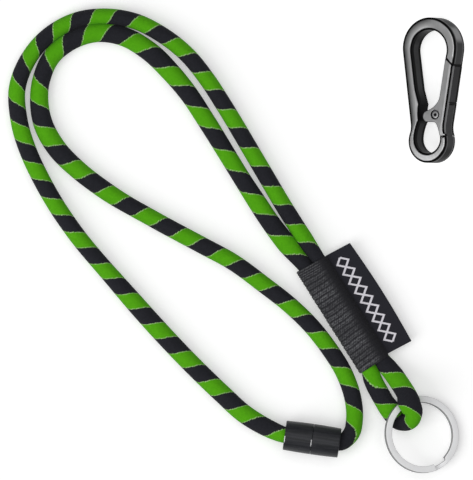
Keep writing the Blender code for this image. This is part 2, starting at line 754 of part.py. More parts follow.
def spine_edge():
    """Inner edge of the spine: it swells to a step, is hollowed beside the lobe and flares into the eye's bore."""
    step_y = EYE_Y + SPINE_STEP_RISE
    cusp_y = EYE_Y + SPINE_CUSP_RISE
    swell_y = step_y + SPINE_SWELL
    step = (-SPINE_STEP_X, step_y)
    cusp = (-SPINE_STEP_X, cusp_y)
    hollow = (-SPINE_STEP_X - 2 * SPINE_RECESS, (step_y + cusp_y) / 2)
    bore_start = math.radians(BORE_START_DEG)
    end = (BORE[0] + EYE_BORE * math.cos(bore_start), BORE[1] + EYE_BORE * math.sin(bore_start))
    upward = Vector((math.sin(bore_start), -math.cos(bore_start)))
    flare = Vector((-math.cos(SPINE_FLARE), -math.sin(SPINE_FLARE)))
    points = [(-inner_x(swell_y), swell_y)]
    points += bend(step, hollow, cusp, 4)
    points += bend(cusp, crossing(cusp, flare, end, upward), end, 6)[1:-1]
    return points


def hook_outline():
    """Nose, crown, spine and eye, along the inner edge and back along the outer one."""
    taper = math.degrees(SIDE_TAPER)
    crown = (0.0, HOOK_LENGTH / 2 - HOOK_CROWN - HOOK_RADIUS + HOOK_BAND)
    centre, side_angle, eye_angle = waist()
    points = [(inner_x(NOSE_INNER_Y), NOSE_INNER_Y)]
    points += arc(crown, HOOK_RADIUS - HOOK_BAND, -taper, 180 + taper, 20)
    points += spine_edge()
    points += arc(BORE, EYE_BORE, BORE_START_DEG, 360 + angle_at(EYE_END_Y, BORE, EYE_BORE), 16)
    points += arc(EYE, EYE_RADIUS, angle_at(EYE_END_Y, EYE, EYE_RADIUS), -eye_angle, 18)
    points += [(-x, y) for x, y in arc(centre, WAIST_RADIUS, eye_angle, side_angle, 6)[1:]]
    points += arc((0.0, HOOK_TOP_Y), HOOK_RADIUS, 180 + taper, -taper, 24)
    points.append((side_x(NOSE_OUTER_Y), NOSE_OUTER_Y))
    return points


def lobe_points():
    return arc((LOBE_X, LOBE_Y), LOBE_RADIUS, LOBE_START_DEG, LOBE_END_DEG, 10)


def throat(lobe_end, tail_y):
    """Lower edge of the gate, from below its pivot round to its tail on the eye's bore."""
    start = (GATE_THROAT_X, EYE_Y + GATE_THROAT_RISE)
    tail = math.radians(angle_at(tail_y, BORE, EYE_BORE))
    end = (BORE[0] + EYE_BORE * math.cos(tail), tail_y)
    upward = Vector((-math.sin(tail), math.cos(tail)))
    corner = crossing(start, Vector(start) - Vector(lobe_end), end, upward)
    return bend(start, corner, end, 6)


def tongue_outline():
    """Tongue that rises from the end of the eye between the gate's cheeks and carries the pivot."""
    top_y = WEB_END_Y - SEAT_GAP
    edge = throat(lobe_points()[-1], EYE_END_Y)[1:]
    points = [(EYE_BORE + SEAT_GAP, EYE_Y)]
    points += [(x + SEAT_GAP, y + SEAT_GAP) for x, y in edge[::-1]]
    points += arc(PIVOT, KNUCKLE_RADIUS, KNUCKLE_START_DEG, KNUCKLE_END_DEG, 16)
    points.append((PIVOT_X + POCKET_RADIUS, top_y))
    points += outer_side(EYE_END_Y, top_y)[::-1]
    points.append((EYE_RADIUS - SEAT_GAP, EYE_Y))
    return points


def gate_outline():
    """Nose, inner edge, lobe and tail of the gate, and back up its outer edge."""
    seam = Vector((side_x(NOSE_OUTER_Y) - inner_x(NOSE_INNER_Y), NOSE_OUTER_Y - NOSE_INNER_Y))
    drop = SEAT_GAP * seam.length / seam.x
    tail_y = EYE_END_Y + SEAT_GAP
    lobe = lobe_points()
    knee = (inner_x(GATE_KNEE_Y), GATE_KNEE_Y)
    down = Vector((-math.sin(SIDE_TAPER), -math.cos(SIDE_TAPER)))
    lobe_start = math.radians(LOBE_START_DEG)
    along_lobe = Vector((math.sin(lobe_start), -math.cos(lobe_start)))
    points = [(inner_x(NOSE_INNER_Y), NOSE_INNER_Y - drop)]
    points += bend(knee, crossing(knee, down, lobe[0], along_lobe), lobe[0], 8)
    points += lobe[1:]
    points += throat(lobe[-1], tail_y)
    points += outer_side(tail_y, NOSE_OUTER_Y - drop)
    return points


def rivet_profile():
    return [
        (0.0, RIVET_HALF - RIVET_DIMPLE),
        (RIVET_DIMPLE_RADIUS, RIVET_HALF - RIVET_DIMPLE),
        (RIVET_DIMPLE_RADIUS, RIVET_HALF),
        (RIVET_HEAD_RADIUS, RIVET_HALF),
        (RIVET_HEAD_RADIUS, RIVET_HALF - RIVET_HEAD),
        (RIVET_RADIUS, RIVET_HALF - RIVET_HEAD),
        (RIVET_RADIUS, RIVET_HEAD - RIVET_HALF),
        (RIVET_HEAD_RADIUS, RIVET_HEAD - RIVET_HALF),
        (RIVET_HEAD_RADIUS, -RIVET_HALF),
        (0.0, -RIVET_HALF),
    ]


def spring_points():
    """Left leg, coil climbing about the rivet, right leg up to the gate's web."""
    floor = TONGUE_HALF - POCKET_DEPTH + SEAT_GAP + SPRING_WIRE / 2
    steps = round(SPRING_TURNS * SPRING_TURN_POINTS)
    points = [(-SPRING_RADIUS, SPRING_LEG, floor, SPRING_WIRE)]
    for i in range(steps + 1):
        turns = SPRING_TURNS * i / steps
        angle = math.pi + 2 * math.pi * turns
        height = floor + SPRING_PITCH * turns
        points.append((SPRING_RADIUS * math.cos(angle), SPRING_RADIUS * math.sin(angle), height, SPRING_WIRE))
    points.append((SPRING_RADIUS, WEB_END_Y - SEAT_GAP - PIVOT_Y, points[-1][2], SPRING_WIRE))
    return points


def build_hook():
    gunmetal = new_material("hook_metal", (0.16, 0.16, 0.165), 0.35, 1.0)
    gate_metal = new_material("gate_metal", (0.17, 0.17, 0.175), 0.35, 1.0)
    rivet_metal = new_material("rivet_metal", (0.20, 0.20, 0.205), 0.3, 1.0)
    spring_steel = new_material("spring_steel", (0.45, 0.45, 0.46), 0.3, 1.0)
    half = HOOK_THICKNESS / 2
    frame = new_frame("hook_frame", (HOOK_X, HOOK_Y, HOOK_Z), (0.0, -HOOK_LEAN, -HOOK_TURN))
    pivot = new_frame("gate_pivot_frame", (*PIVOT, 0.0), parent=frame)
    hole = RIVET_RADIUS + FIT_GAP
    # Frame of the hook, with its tongue and the spring's pocket
    shape = outline_mesh("carabiner_body", hook_outline(), half, HOOK_EDGE)
    body = new_part("carabiner_body", shape, gunmetal, frame)
    boolean(body, outline_mesh("tongue", tongue_outline(), TONGUE_HALF), "UNION", frame)
    boolean(body, disc_mesh("tongue_hole", hole, -half, half), "DIFFERENCE", pivot)
    pocket_low = TONGUE_HALF - POCKET_DEPTH
    boolean(body, disc_mesh("spring_pocket", POCKET_RADIUS, pocket_low, SLOT_HALF), "DIFFERENCE", pivot)
    channel_low = (-POCKET_RADIUS, 0.0, pocket_low)
    channel_high = (POCKET_RADIUS, WEB_END_Y - PIVOT_Y, SLOT_HALF)
    boolean(body, box_mesh("leg_channel", channel_low, channel_high), "DIFFERENCE", pivot)
    # Gate, forked over the tongue
    shape = outline_mesh("carabiner_gate", gate_outline(), half, HOOK_EDGE)
    gate = new_part("carabiner_gate", shape, gate_metal, pivot, location=(-PIVOT_X, -PIVOT_Y, 0.0))
    fork_low = (-HOOK_RADIUS, EYE_Y, -SLOT_HALF)
    fork_high = (HOOK_RADIUS, WEB_END_Y, SLOT_HALF)
    boolean(gate, box_mesh("fork_slot", fork_low, fork_high), "DIFFERENCE", frame)
    boolean(gate, disc_mesh("gate_hole", hole, -half, half), "DIFFERENCE", pivot)
    seat = RIVET_HEAD_RADIUS + FIT_GAP
    seat_floor = RIVET_HALF - RIVET_HEAD - FIT_GAP
    boolean(gate, disc_mesh("front_head_seat", seat, seat_floor, half + SEAT_GAP), "DIFFERENCE", pivot)
    boolean(gate, disc_mesh("back_head_seat", seat, -half - SEAT_GAP, -seat_floor), "DIFFERENCE", pivot)
    turned_part("gate_rivet", rivet_profile(), False, rivet_metal, pivot)
    tube_part("gate_spring", spring_points(), spring_steel, 1, pivot)


clear_scene()
PARTS = new_collection("cord_lanyard")
TOOLS = new_collection("cutters_and_guides")
build_cord()
build_sleeve()
build_connector()
build_split_ring()
build_hook()
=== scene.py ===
"""Looks of the cord lanyard: woven cords, ribbed sleeve, label, connector, key ring and hook."""
import math
from contextlib import contextmanager

import bmesh
import bpy
from mathutils import Matrix, Vector


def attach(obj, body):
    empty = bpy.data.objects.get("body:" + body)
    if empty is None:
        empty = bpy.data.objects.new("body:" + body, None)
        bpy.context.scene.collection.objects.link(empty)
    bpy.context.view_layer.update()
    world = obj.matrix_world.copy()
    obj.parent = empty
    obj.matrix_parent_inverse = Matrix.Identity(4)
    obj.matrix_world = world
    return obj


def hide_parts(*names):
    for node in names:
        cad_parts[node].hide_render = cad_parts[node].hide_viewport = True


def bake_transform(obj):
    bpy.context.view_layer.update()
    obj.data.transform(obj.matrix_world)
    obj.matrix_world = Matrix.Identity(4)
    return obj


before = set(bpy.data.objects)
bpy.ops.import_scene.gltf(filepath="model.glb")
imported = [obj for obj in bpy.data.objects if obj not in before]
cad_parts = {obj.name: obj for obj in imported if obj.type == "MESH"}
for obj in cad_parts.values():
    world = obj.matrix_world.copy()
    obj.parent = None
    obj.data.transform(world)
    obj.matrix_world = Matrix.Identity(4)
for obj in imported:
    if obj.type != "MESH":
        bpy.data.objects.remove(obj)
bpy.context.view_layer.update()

# Cord, with the same sizes and routes as the solids
CORD_DIAMETER = 0.0072
CORD_END_DIAMETER = 0.0062
STRAND_DIAMETER = 0.0060
LOOP_DIAMETER = 0.0059
SEAT_GAP = 0.0003
FIT_GAP = 0.0002
OUTER_ROUTE = [
    (0.0150, -0.0806, 0.0012), (0.0092, -0.0776, 0.0003), (0.0036, -0.0740, 0.0), (-0.0061, -0.0653, 0.0),
    (-0.0157, -0.0561, 0.0), (-0.0341, -0.0369, 0.0), (-0.0516, -0.0170, 0.0), (-0.0686, 0.0033, 0.0),
    (-0.0762, 0.0143, 0.0), (-0.0828, 0.0258, 0.0), (-0.0884, 0.0378, 0.0), (-0.0923, 0.0505, 0.0),
    (-0.0934, 0.0637, 0.0), (-0.0891, 0.0762, 0.0), (-0.0812, 0.0862, 0.0), (-0.0697, 0.0929, 0.0),
    (-0.0563, 0.0950, 0.0), (-0.0431, 0.0929, 0.0), (-0.0313, 0.0869, 0.0), (-0.0209, 0.0786, 0.0),
    (-0.0125, 0.0683, 0.0), (-0.0053, 0.0572, 0.0), (0.0083, 0.0343, 0.0), (0.0218, 0.0115, 0.0),
    (0.0291, 0.0001, 0.0),
]
INNER_ROUTE = [
    (0.0207, -0.0019, 0.0), (0.0133, 0.0083, 0.0), (0.0001, 0.0298, 0.0), (-0.0131, 0.0511, 0.0),
    (-0.0200, 0.0616, 0.0), (-0.0281, 0.0713, 0.0), (-0.0372, 0.0800, 0.0), (-0.0480, 0.0857, 0.0),
    (-0.0600, 0.0868, 0.0), (-0.0710, 0.0831, 0.0), (-0.0790, 0.0761, 0.0), (-0.0829, 0.0675, 0.0),
    (-0.0837, 0.0590, 0.0), (-0.0822, 0.0498, 0.0), (-0.0762, 0.0387, 0.0), (-0.0674, 0.0297, 0.0),
    (-0.0575, 0.0220, 0.0), (-0.0358, 0.0092, 0.0), (-0.0137, -0.0027, 0.0), (-0.0024, -0.0088, 0.0),
    (0.0122, -0.0194, 0.0), (0.0225, -0.0275, 0.0), (0.0315, -0.0362, 0.0), (0.0393, -0.0461, 0.0),
    (0.0458, -0.0568, 0.0), (0.0496, -0.0687, 0.0004), (0.0500, -0.0757, 0.0012), (0.0487, -0.0818, 0.0021),
]
LOOP_ROUTE = [
    (0.0064, -0.0033, 0.0046), (0.0103, -0.0090, 0.0074), (0.0134, -0.0136, 0.0102),
    (0.0152, -0.0169, 0.0109), (0.0165, -0.0204, 0.0104), (0.0156, -0.0238, 0.0083),
    (0.0126, -0.0253, 0.0055), (0.0093, -0.0240, 0.0034), (0.0072, -0.0207, 0.0030),
    (0.0046, -0.0163, 0.0030), (0.0019, -0.0115, 0.0032), (-0.0007, -0.0067, 0.0037),
]

# How the stripes wind: stations along the cord from its mouth and the number of turns made by then
OUTER_TWIST = [
    (0.004, -0.5), (0.016, 0.0), (0.100, 5.0), (0.186, 10.0), (0.276, 15.0), (0.380, 20.5), (0.395, 21.0),
]
INNER_TWIST = [(0.007, 0.0), (0.115, 5.0), (0.209, 10.0), (0.300, 15.0), (0.382, 19.5), (0.400, 20.0)]
LOOP_TWIST = [(0.0, -0.34), (0.0078, 0.0), (0.0256, 1.0), (0.0572, 3.0), (0.0750, 3.42)]

# How much less the stripes lean on the upper side than on the lower one: stations and shares
OUTER_LEAN = [(0.0, 0.10), (0.200, 0.12), (0.235, 0.42), (0.390, 0.42)]
INNER_LEAN = [(0.0, 0.15), (0.125, 0.15), (0.145, 0.32), (0.250, 0.32), (0.280, 0.27), (0.390, 0.27)]
LOOP_LEAN = [
    (0.0, 0.10), (0.020, 0.10), (0.0256, -0.80), (0.0300, 0.0), (0.0335, 1.00), (0.037, 1.00),
    (0.044, 0.10), (0.070, 0.10),
]
GREEN_SHARE = 0.500

# How the cord is pressed, in millimetres: stations, and how far it swells to its left and to its right
MILLIMETRE = 0.001
OUTER_PRESS = [
    (0, 0.0, 0.2), (20, 0.3, 0.5), (80, 0.3, 0.5), (110, 0.0, 0.0), (170, 0.0, 0.2), (190, -0.4, 0.4),
    (220, -0.8, 0.6), (240, -0.5, 0.0), (280, -0.2, 0.0), (390, 0.0, 0.0),
]
INNER_PRESS = [
    (0, 0.0, 0.4), (12, 0.0, 1.2), (30, 0.0, 0.8), (50, 0.2, 0.0), (80, 0.3, 0.2), (110, 0.6, 0.7),
    (140, -0.5, 1.3), (155, -0.3, 0.8), (170, 0.3, 0.1), (195, 0.7, 0.5), (225, 0.5, 0.1), (245, 0.0, 0.0),
]
LOOP_PRESS = [
    (0, 0.6, 0.3), (2, 0.9, 0.6), (4, 1.2, 0.7), (9, 1.6, 0.65), (14, 1.6, 0.65), (18, 1.5, 0.9),
    (20.4, 1.4, 2.0), (22.4, 1.3, 2.4), (26, 0.8, 2.1), (30, 0.2, 0.9), (36.5, 0.1, 0.7), (40.4, 0.6, 1.4),
    (44.5, 1.4, 2.0), (47.5, 1.6, 1.2), (50.5, 1.6, 0.7), (56.5, 1.6, 0.65), (61.5, 1.3, 0.7),
    (63.5, 1.0, 0.6), (65.3, 0.8, 0.3),
]
CORD_RINGS = 0.0010
CORD_SIDES = 40

# Webbing sleeve and label
SLEEVE_X = 0.0455
SLEEVE_Y = -0.0314
SLEEVE_ANGLE = math.radians(-57.8)
SLEEVE_LENGTH = 0.0500
WEBBING_THICKNESS = 0.0009
STRAND_OFFSET = 0.0032
SLEEVE_BORE = 0.0033
SLEEVE_RADIUS = 0.0042
STRAND_JOIN_DEPTH = 0.0030
STRAND_JOIN_GAP = 0.0008
RIB_PITCH = 0.00225
RIB_HEIGHT = 0.00045
SLEEVE_SWELL = 0.0005
SLEEVE_SKEW = 0.055
SLEEVE_TURN = 0.006
LABEL_LENGTH = 0.0485
LABEL_REACH = 0.0110
LABEL_PLY = 0.0004
LABEL_FOLD_GAP = 0.0003
LABEL_THICKNESS = 2 * LABEL_PLY + LABEL_FOLD_GAP

# Connector
CONNECTOR_X = 0.0320
CONNECTOR_Y = -0.0843
CONNECTOR_ANGLE = math.radians(-8.2)
BARREL_LENGTH = 0.0113
BARREL_MIDDLE_RADIUS = 0.0062
BARREL_END_RADIUS = 0.00595
BARREL_EDGE = 0.0004
BARREL_SEAM = 0.00008
BARREL_MORE = 0.0003
BARREL_WIDEN = 1.05
BARREL_WALL = 0.0015
BARREL_SHOULDER = 0.0020
FERRULE_LENGTH = 0.0042
FERRULE_TOP = SEAT_GAP / 2 + BARREL_LENGTH - BARREL_SHOULDER - FIT_GAP
FERRULE_BOTTOM = FERRULE_TOP - FERRULE_LENGTH

# Split ring
RING_CENTRE = (0.078422, -0.082355, 0.005553)
RING_DIAMETER = 0.0320
RING_BAND = 0.0027
RING_WIRE = 0.0012
RING_COIL_GAP = 0.00025
RING_EDGE = 0.0002
RING_GROUND = 0.0010
RING_STRETCH = 1.024
RING_CUT = math.radians(2.0)
RING_TILT = math.radians(15.5)
RING_HIGH_SIDE = math.radians(200.0)
RING_SPLIT_ANGLE = math.radians(-68.6)
RING_RAMP = math.radians(24.0)

# Hook
HOOK_X = 0.08305
HOOK_Y = 0.06335
HOOK_LEAN = math.radians(31.3)
HOOK_TURN = math.radians(1.1)
HOOK_LENGTH = 0.0613
HOOK_THICKNESS = 0.0082
HOOK_RADIUS = 0.0128
HOOK_BAND = 0.0041
HOOK_CROWN = 0.0050
HOOK_EDGE = 0.0006
HOOK_GROW = 0.0001
WALL_SEAM_Y = -0.0052
SIDE_TAPER = math.radians(8.4)
WAIST_RADIUS = 0.0090
EYE_RADIUS = 0.0091
EYE_BAND = 0.0028
EYE_END_RISE = 0.0022
BORE_RISE = 0.0010
BORE_START_DEG = 176
NOSE_INNER_DROP = 0.0171
NOSE_OUTER_DROP = 0.0201
SPINE_STEP_X = 0.0042
SPINE_STEP_RISE = 0.0156
SPINE_SWELL = 0.0062
SPINE_CUSP_RISE = 0.0086
SPINE_RECESS = 0.0004
SPINE_FLARE = math.radians(62)
PIVOT_X = 0.0037
PIVOT_RISE = 0.0112
GATE_KNEE_RISE = 0.0194
LOBE_X = 0.0002
LOBE_RISE = 0.0104
LOBE_RADIUS = 0.0024
LOBE_START_DEG = 110
LOBE_END_DEG = 245
GATE_THROAT_X = 0.0032
GATE_THROAT_RISE = 0.0081
CHEEK = 0.0017
WEB_END_RISE = 0.0156
KNUCKLE_RADIUS = 0.0029
KNUCKLE_START_DEG = -85
KNUCKLE_END_DEG = -295
RIVET_RADIUS = 0.0010
RIVET_HEAD_RADIUS = 0.0016
RIVET_GROOVE = 0.0005
RIVET_HEAD = 0.0008
RIVET_DIMPLE_RADIUS = 0.0005
RIVET_DIMPLE = 0.0006
POCKET_RADIUS = 0.0023
POCKET_DEPTH = 0.0022
HOOK_HALF = HOOK_THICKNESS / 2
HOOK_TOP_Y = HOOK_LENGTH / 2 - HOOK_RADIUS
EYE_Y = EYE_RADIUS - HOOK_LENGTH / 2
EYE_END_Y = EYE_Y + EYE_END_RISE
EYE_BORE = EYE_RADIUS - EYE_BAND
NOSE_INNER_Y = HOOK_LENGTH / 2 - NOSE_INNER_DROP
NOSE_OUTER_Y = HOOK_LENGTH / 2 - NOSE_OUTER_DROP
PIVOT_Y = EYE_Y + PIVOT_RISE
GATE_KNEE_Y = EYE_Y + GATE_KNEE_RISE
LOBE_Y = EYE_Y + LOBE_RISE
WEB_END_Y = EYE_Y + WEB_END_RISE
SLOT_HALF = HOOK_HALF - CHEEK
TONGUE_HALF = SLOT_HALF - SEAT_GAP
HOOK_Z = (
    (HOOK_RADIUS - HOOK_EDGE) * math.sin(HOOK_LEAN)
    + (HOOK_HALF - HOOK_EDGE) * math.cos(HOOK_LEAN)
    + HOOK_EDGE
)
RIVET_HALF = HOOK_HALF - FIT_GAP / 2
PIVOT = (PIVOT_X, PIVOT_Y)
EYE = (0.0, EYE_Y)
BORE = (0.0, EYE_Y + BORE_RISE)

# Camera straight above, with a long lens
CAMERA_HEIGHT = 5.0
CORD_LEVEL = 0.0036
VIEW_WIDTH = 0.2004
SENSOR = 36.0
WELD = 1e-6


class Value:
    """What a node of a material gives; plain signs work it out further."""

    def __init__(self, look, socket):
        self.look = look
        self.socket = socket

    def __add__(self, other):
        return self.look.math("ADD", self, other)

    def __sub__(self, other):
        return self.look.math("SUBTRACT", self, other)

    def __rsub__(self, other):
        return self.look.math("SUBTRACT", other, self)

    def __mul__(self, other):
        return self.look.math("MULTIPLY", self, other)

    def __truediv__(self, other):
        return self.look.math("DIVIDE", self, other)

    def __abs__(self):
        return self.look.math("ABSOLUTE", self)


class Look:
    """A node material made with short calls."""

    def __init__(self, name, **sockets):
        self.material = bpy.data.materials.new(name)
        self.material.use_nodes = True
        self.tree = self.material.node_tree
        self.shader = self.tree.nodes["Principled BSDF"]
        for key, value in sockets.items():
            self.set(key.replace("_", " "), value)

    def put(self, socket, value):
        if isinstance(value, Value):
            self.tree.links.new(value.socket, socket)
        elif socket.type == "RGBA" and len(value) == 3:
            socket.default_value = (*value, 1.0)
        else:
            socket.default_value = value

    def set(self, name, value):
        self.put(self.shader.inputs[name], value)

    def node(self, kind, *values, **settings):
        """A node with values at its first inputs."""
        node = self.tree.nodes.new(kind)
        for key, setting in settings.items():
            setattr(node, key, setting)
        for socket, value in zip(node.inputs, values):
            self.put(socket, value)
        return node

    def give(self, node, output=0):
        return Value(self, node.outputs[output])

    def add(self, kind, *values, output=0, **settings):
        return self.give(self.node(kind, *values, **settings), output)

    def math(self, operation, *values):
        return self.add("ShaderNodeMath", *values, operation=operation)

    def least(self, a, b):
        return self.math("MINIMUM", a, b)

    def most(self, a, b):
        return self.math("MAXIMUM", a, b)

    def root(self, value):
        return self.math("SQRT", value)

    def wave(self, angle):
        """Swings between 0 and 1 with the sine of an angle."""
        return self.math("SINE", angle) * 0.5 + 0.5

    def ease(self, value, low, high):
        """0 at low, 1 at high, smooth between and flat beyond; low may be the greater."""
        return self.add("ShaderNodeMapRange", value, low, high, interpolation_type="SMOOTHSTEP")

    def band(self, value, rise, full, fall, end):
        """1 from full to fall, easing to 0 at rise and at end."""
        return self.ease(value, rise, full) * self.ease(value, end, fall)

    def scale(self, value, low, high):
        """A 0 to 1 value spread from low to high."""
        return self.add("ShaderNodeMapRange", value, 0.0, 1.0, low, high)

    def mix(self, factor, a, b):
        node = self.node("ShaderNodeMix", factor, data_type="RGBA")
        self.put(node.inputs[6], a)
        self.put(node.inputs[7], b)
        return self.give(node, 2)

    def noise(self, vector, scale, detail=2.0):
        """Soft noise; a scale of three numbers stretches it along the axes."""
        if isinstance(scale, tuple):
            mapping = self.node("ShaderNodeMapping", vector)
            mapping.inputs["Scale"].default_value = scale
            vector = self.give(mapping)
            scale = 1.0
        node = self.node("ShaderNodeTexNoise", vector)
        node.inputs["Scale"].default_value = scale
        node.inputs["Detail"].default_value = detail
        return self.give(node, "Fac")

    def parts(self, vector):
        node = self.node("ShaderNodeSeparateXYZ", vector)
        return [self.give(node, axis) for axis in (0, 1, 2)]

    def place(self):
        return self.add("ShaderNodeTexCoord", output="Object")

    def slope(self):
        """Parts of the surface normal in the piece's own axes."""
        normal = self.add("ShaderNodeNewGeometry", output="Normal")
        change = {"vector_type": "NORMAL", "convert_from": "WORLD", "convert_to": "OBJECT"}
        return self.parts(self.add("ShaderNodeVectorTransform", normal, **change))

    def attribute(self, name):
        return self.add("ShaderNodeAttribute", attribute_name=name, output="Fac")

    def cloth(self):
        """Place on the cloth, millimetres along it, and millimetres across it or turns around a cord."""
        weave = self.add("ShaderNodeUVMap", uv_map="cloth")
        along, across, _ = self.parts(weave)
        return weave, along, across

    def colour(self, value):
        self.set("Base Color", value)

    def rough(self, value):
        self.set("Roughness", value)

    def relief(self, height, strength, depth):
        node = self.node("ShaderNodeBump")
        node.inputs["Strength"].default_value = strength
        node.inputs["Distance"].default_value = depth
        self.put(node.inputs["Height"], height)
        self.set("Normal", self.give(node))


def striped_cord():
    """Tubular weave whose green and black yarns wind left-handed, with finely stepped edges and pale rims."""
    teeth = 36.0
    look = Look("striped_cord", Sheen_Weight=0.03, Sheen_Roughness=0.5, Specular_IOR_Level=0.08)
    weave, along, around = look.cloth()
    spin = around * teeth
    step = (look.math("FRACT", spin) - 0.5) * (0.6 / teeth)
    wound = look.attribute("turns") + around - step
    # Each yarn turns a little early or late at an edge, and shows more or less of the pale rim there
    edge_row = look.math("FLOOR", wound * 2.0 + 0.5)
    lot = look.add("ShaderNodeCombineXYZ", look.math("FLOOR", spin), edge_row)
    chance = look.node("ShaderNodeTexWhiteNoise", lot, noise_dimensions="2D")
    late = (look.give(chance, "Value") - 0.5) * 0.016
    phase = look.math("FRACT", wound + late)
    inside = look.least(phase, GREEN_SHARE - phase)
    green = look.ease(inside, 0.0, 0.004)
    tint = look.parts(look.give(chance, "Color"))[1]
    rim = look.ease(inside, 0.030, 0.016) * look.scale(tint, 0.40, 1.0)
    # Yarns of the twill, and slow changes in the dye
    yarn = look.wave(along * 9.0 + around * (2 * math.pi * 44))
    fuzz = look.noise(look.place(), 900.0, 3.0)
    slow = look.noise(weave, (0.25, 5.0, 1.0))
    shade = yarn * 0.45 + fuzz * 0.55
    leaf = look.mix(shade, (0.054, 0.280, 0.002), (0.116, 0.460, 0.010))
    leaf = look.mix(slow * 0.35, leaf, (0.068, 0.330, 0.002))
    leaf = look.mix(rim, leaf, (0.370, 0.540, 0.230))
    coal = look.mix(shade, (0.007, 0.007, 0.010), (0.027, 0.028, 0.034))
    look.colour(look.mix(green, coal, leaf))
    look.rough(look.scale(fuzz, 0.70, 0.95))
    look.relief(yarn + fuzz * 0.8, 0.35, 0.00012)
    return look.material


def ribbed_webbing():
    """Black webbing: the ribs are in the mesh; the twisted threads are here, with a painted highlight that
    lightens the rib tops.
    """
    look = Look("ribbed_webbing", Sheen_Weight=0.03, Sheen_Roughness=0.5, Specular_IOR_Level=0.12)
    weave, along, across = look.cloth()
    thread = look.wave(across * (2 * math.pi / 0.85) + along * 4.2)
    fuzz = look.noise(weave, (1.6, 3.0, 1.0), 4.0)
    fleck = look.noise(weave, (1.3, 0.9, 1.0), 3.0)
    # Painted highlight: the rib tops are lightened by their height, broken up by the thread pattern and
    # flecks
    painted_glint = thread * 0.55 + look.ease(fleck, 0.35, 0.7) * 0.6
    light = look.math("POWER", look.attribute("rib"), 1.6) * painted_glint
    base = look.mix(fuzz, (0.009, 0.009, 0.011), (0.025, 0.025, 0.029))
    look.colour(look.mix(light, base, (0.175, 0.177, 0.188)))
    look.rough(look.scale(fuzz, 0.75, 0.95))
    look.relief(thread * 0.6 + fuzz, 0.45, 0.00014)
    return look.material


def label_weave():
    """Close satin weave with a plain chain of lozenges in pale thread."""
    look = Look("label_weave", Sheen_Weight=0.03, Sheen_Roughness=0.5, Specular_IOR_Level=0.12)
    weave, along, across = look.cloth()
    lozenge = 4.6
    count = 9
    middle = 3.9
    spread = 5.2
    stroke = 1.2
    start = count * lozenge / 2
    ramp = look.math("PINGPONG", along + (start + lozenge / 2 + 10 * lozenge), lozenge)
    swing = (ramp / lozenge - 0.5) * spread
    away = abs(across - middle) - abs(swing)
    line = look.ease(abs(away), stroke * 0.58, stroke * 0.42)
    mark = line * look.ease(abs(along), start + 0.3, start)
    thread = look.math("SINE", along * (2 * math.pi / 0.34))
    cross = look.math("SINE", across * (2 * math.pi / 0.42))
    knit = thread * cross * 0.5 + 0.5
    fuzz = look.noise(weave, 3.0, 3.0)
    shade = knit * 0.5 + fuzz * 0.5
    ground = look.mix(shade, (0.010, 0.010, 0.014), (0.027, 0.027, 0.035))
    pale = look.mix(shade, (0.56, 0.54, 0.59), (0.82, 0.80, 0.85))
    look.colour(look.mix(mark, ground, pale))
    look.rough(look.scale(fuzz, 0.65, 0.85))
    look.relief(knit + mark * 1.5, 0.3, 0.00010)
    return look.material


def moulded_plastic(name, dark, light, low, high):
    """Moulded plastic with a fine grain and soft flow lines along the part."""
    look = Look(name, Specular_IOR_Level=0.32)
    place = look.place()
    grain = look.noise(place, 2600.0)
    flow = look.noise(place, (90.0, 700.0, 700.0))
    look.colour(look.mix((grain + flow) * 0.5, dark, light))
    look.rough(look.scale(flow, low, high))
    look.relief(grain, 0.12, 0.00006)
    return look.material


def streaked_plastic_with_highlights():
    """Charcoal plastic streaked along its length, with painted highlights on stretches of the plug half's two
    rims.
    """
    look = Look("connector_plastic", Specular_IOR_Level=0.24)
    place = look.place()
    x, y, z = look.parts(place)
    grain = look.noise(place, 2600.0)
    streak = look.noise(place, (1500.0, 1500.0, 60.0), 3.0)
    shade = look.ease(grain * 0.3 + streak * 0.7, 0.3, 0.7)
    ground = look.mix(shade, (0.009, 0.010, 0.012), (0.027, 0.028, 0.033))
    # Painted highlights on stretches of the seam rim and the end rim
    side = y * look.attribute("highlight_side")
    by_seam = look.ease(z, 0.00045, 0.0003) * look.band(side, 0.00005, 0.0003, 0.0024, 0.0034)
    end = SEAT_GAP / 2 + BARREL_LENGTH + BARREL_MORE
    by_end = look.ease(z, end - 0.0004, end - 0.0003) * look.band(side, 0.0001, 0.0004, 0.0024, 0.0032)
    painted_highlight = look.most(by_seam, by_end) * look.ease(x, 0.0005, -0.0005)
    look.colour(look.mix(painted_highlight, ground, (0.70, 0.70, 0.71)))
    look.rough(look.scale(streak, 0.30, 0.48))
    look.relief(grain + streak, 0.15, 0.00006)
    return look.material


def plain_metal(name, dark, light, low, high):
    """Drawn or plated metal with faint scuffs."""
    look = Look(name, Metallic=1.0)
    place = look.place()
    scuff = look.noise(place, (900.0, 260.0, 260.0), 4.0)
    look.colour(look.mix(look.noise(place, 160.0), dark, light))
    look.rough(look.scale(scuff, low, high))
    look.relief(scuff, 0.06, 0.00004)
    return look.material


def ring_metal():
    """Flat nickel-plated wire, even and light on its faces, with painted shade on its walls and darker
    painted shade on its edges.
    """
    look = Look("ring_steel", Metallic=0.15, Specular_IOR_Level=0.25)
    place = look.place()
    tilt = abs(look.slope()[2])
    cloud = look.noise(place, 90.0)
    face = look.mix(cloud, (0.80, 0.80, 0.81), (0.86, 0.86, 0.87))
    # Painted shade: walls and rounded edges are darker by how far they turn from the face
    wall = look.mix(cloud, (0.20, 0.20, 0.205), (0.30, 0.30, 0.305))
    rim = look.mix(look.ease(tilt, 0.10, 0.30), wall, (0.05, 0.05, 0.052))
    look.colour(look.mix(look.ease(tilt, 0.70, 0.95), rim, face))
    look.rough(look.scale(look.noise(place, 1500.0), 0.40, 0.50))
    return look.material


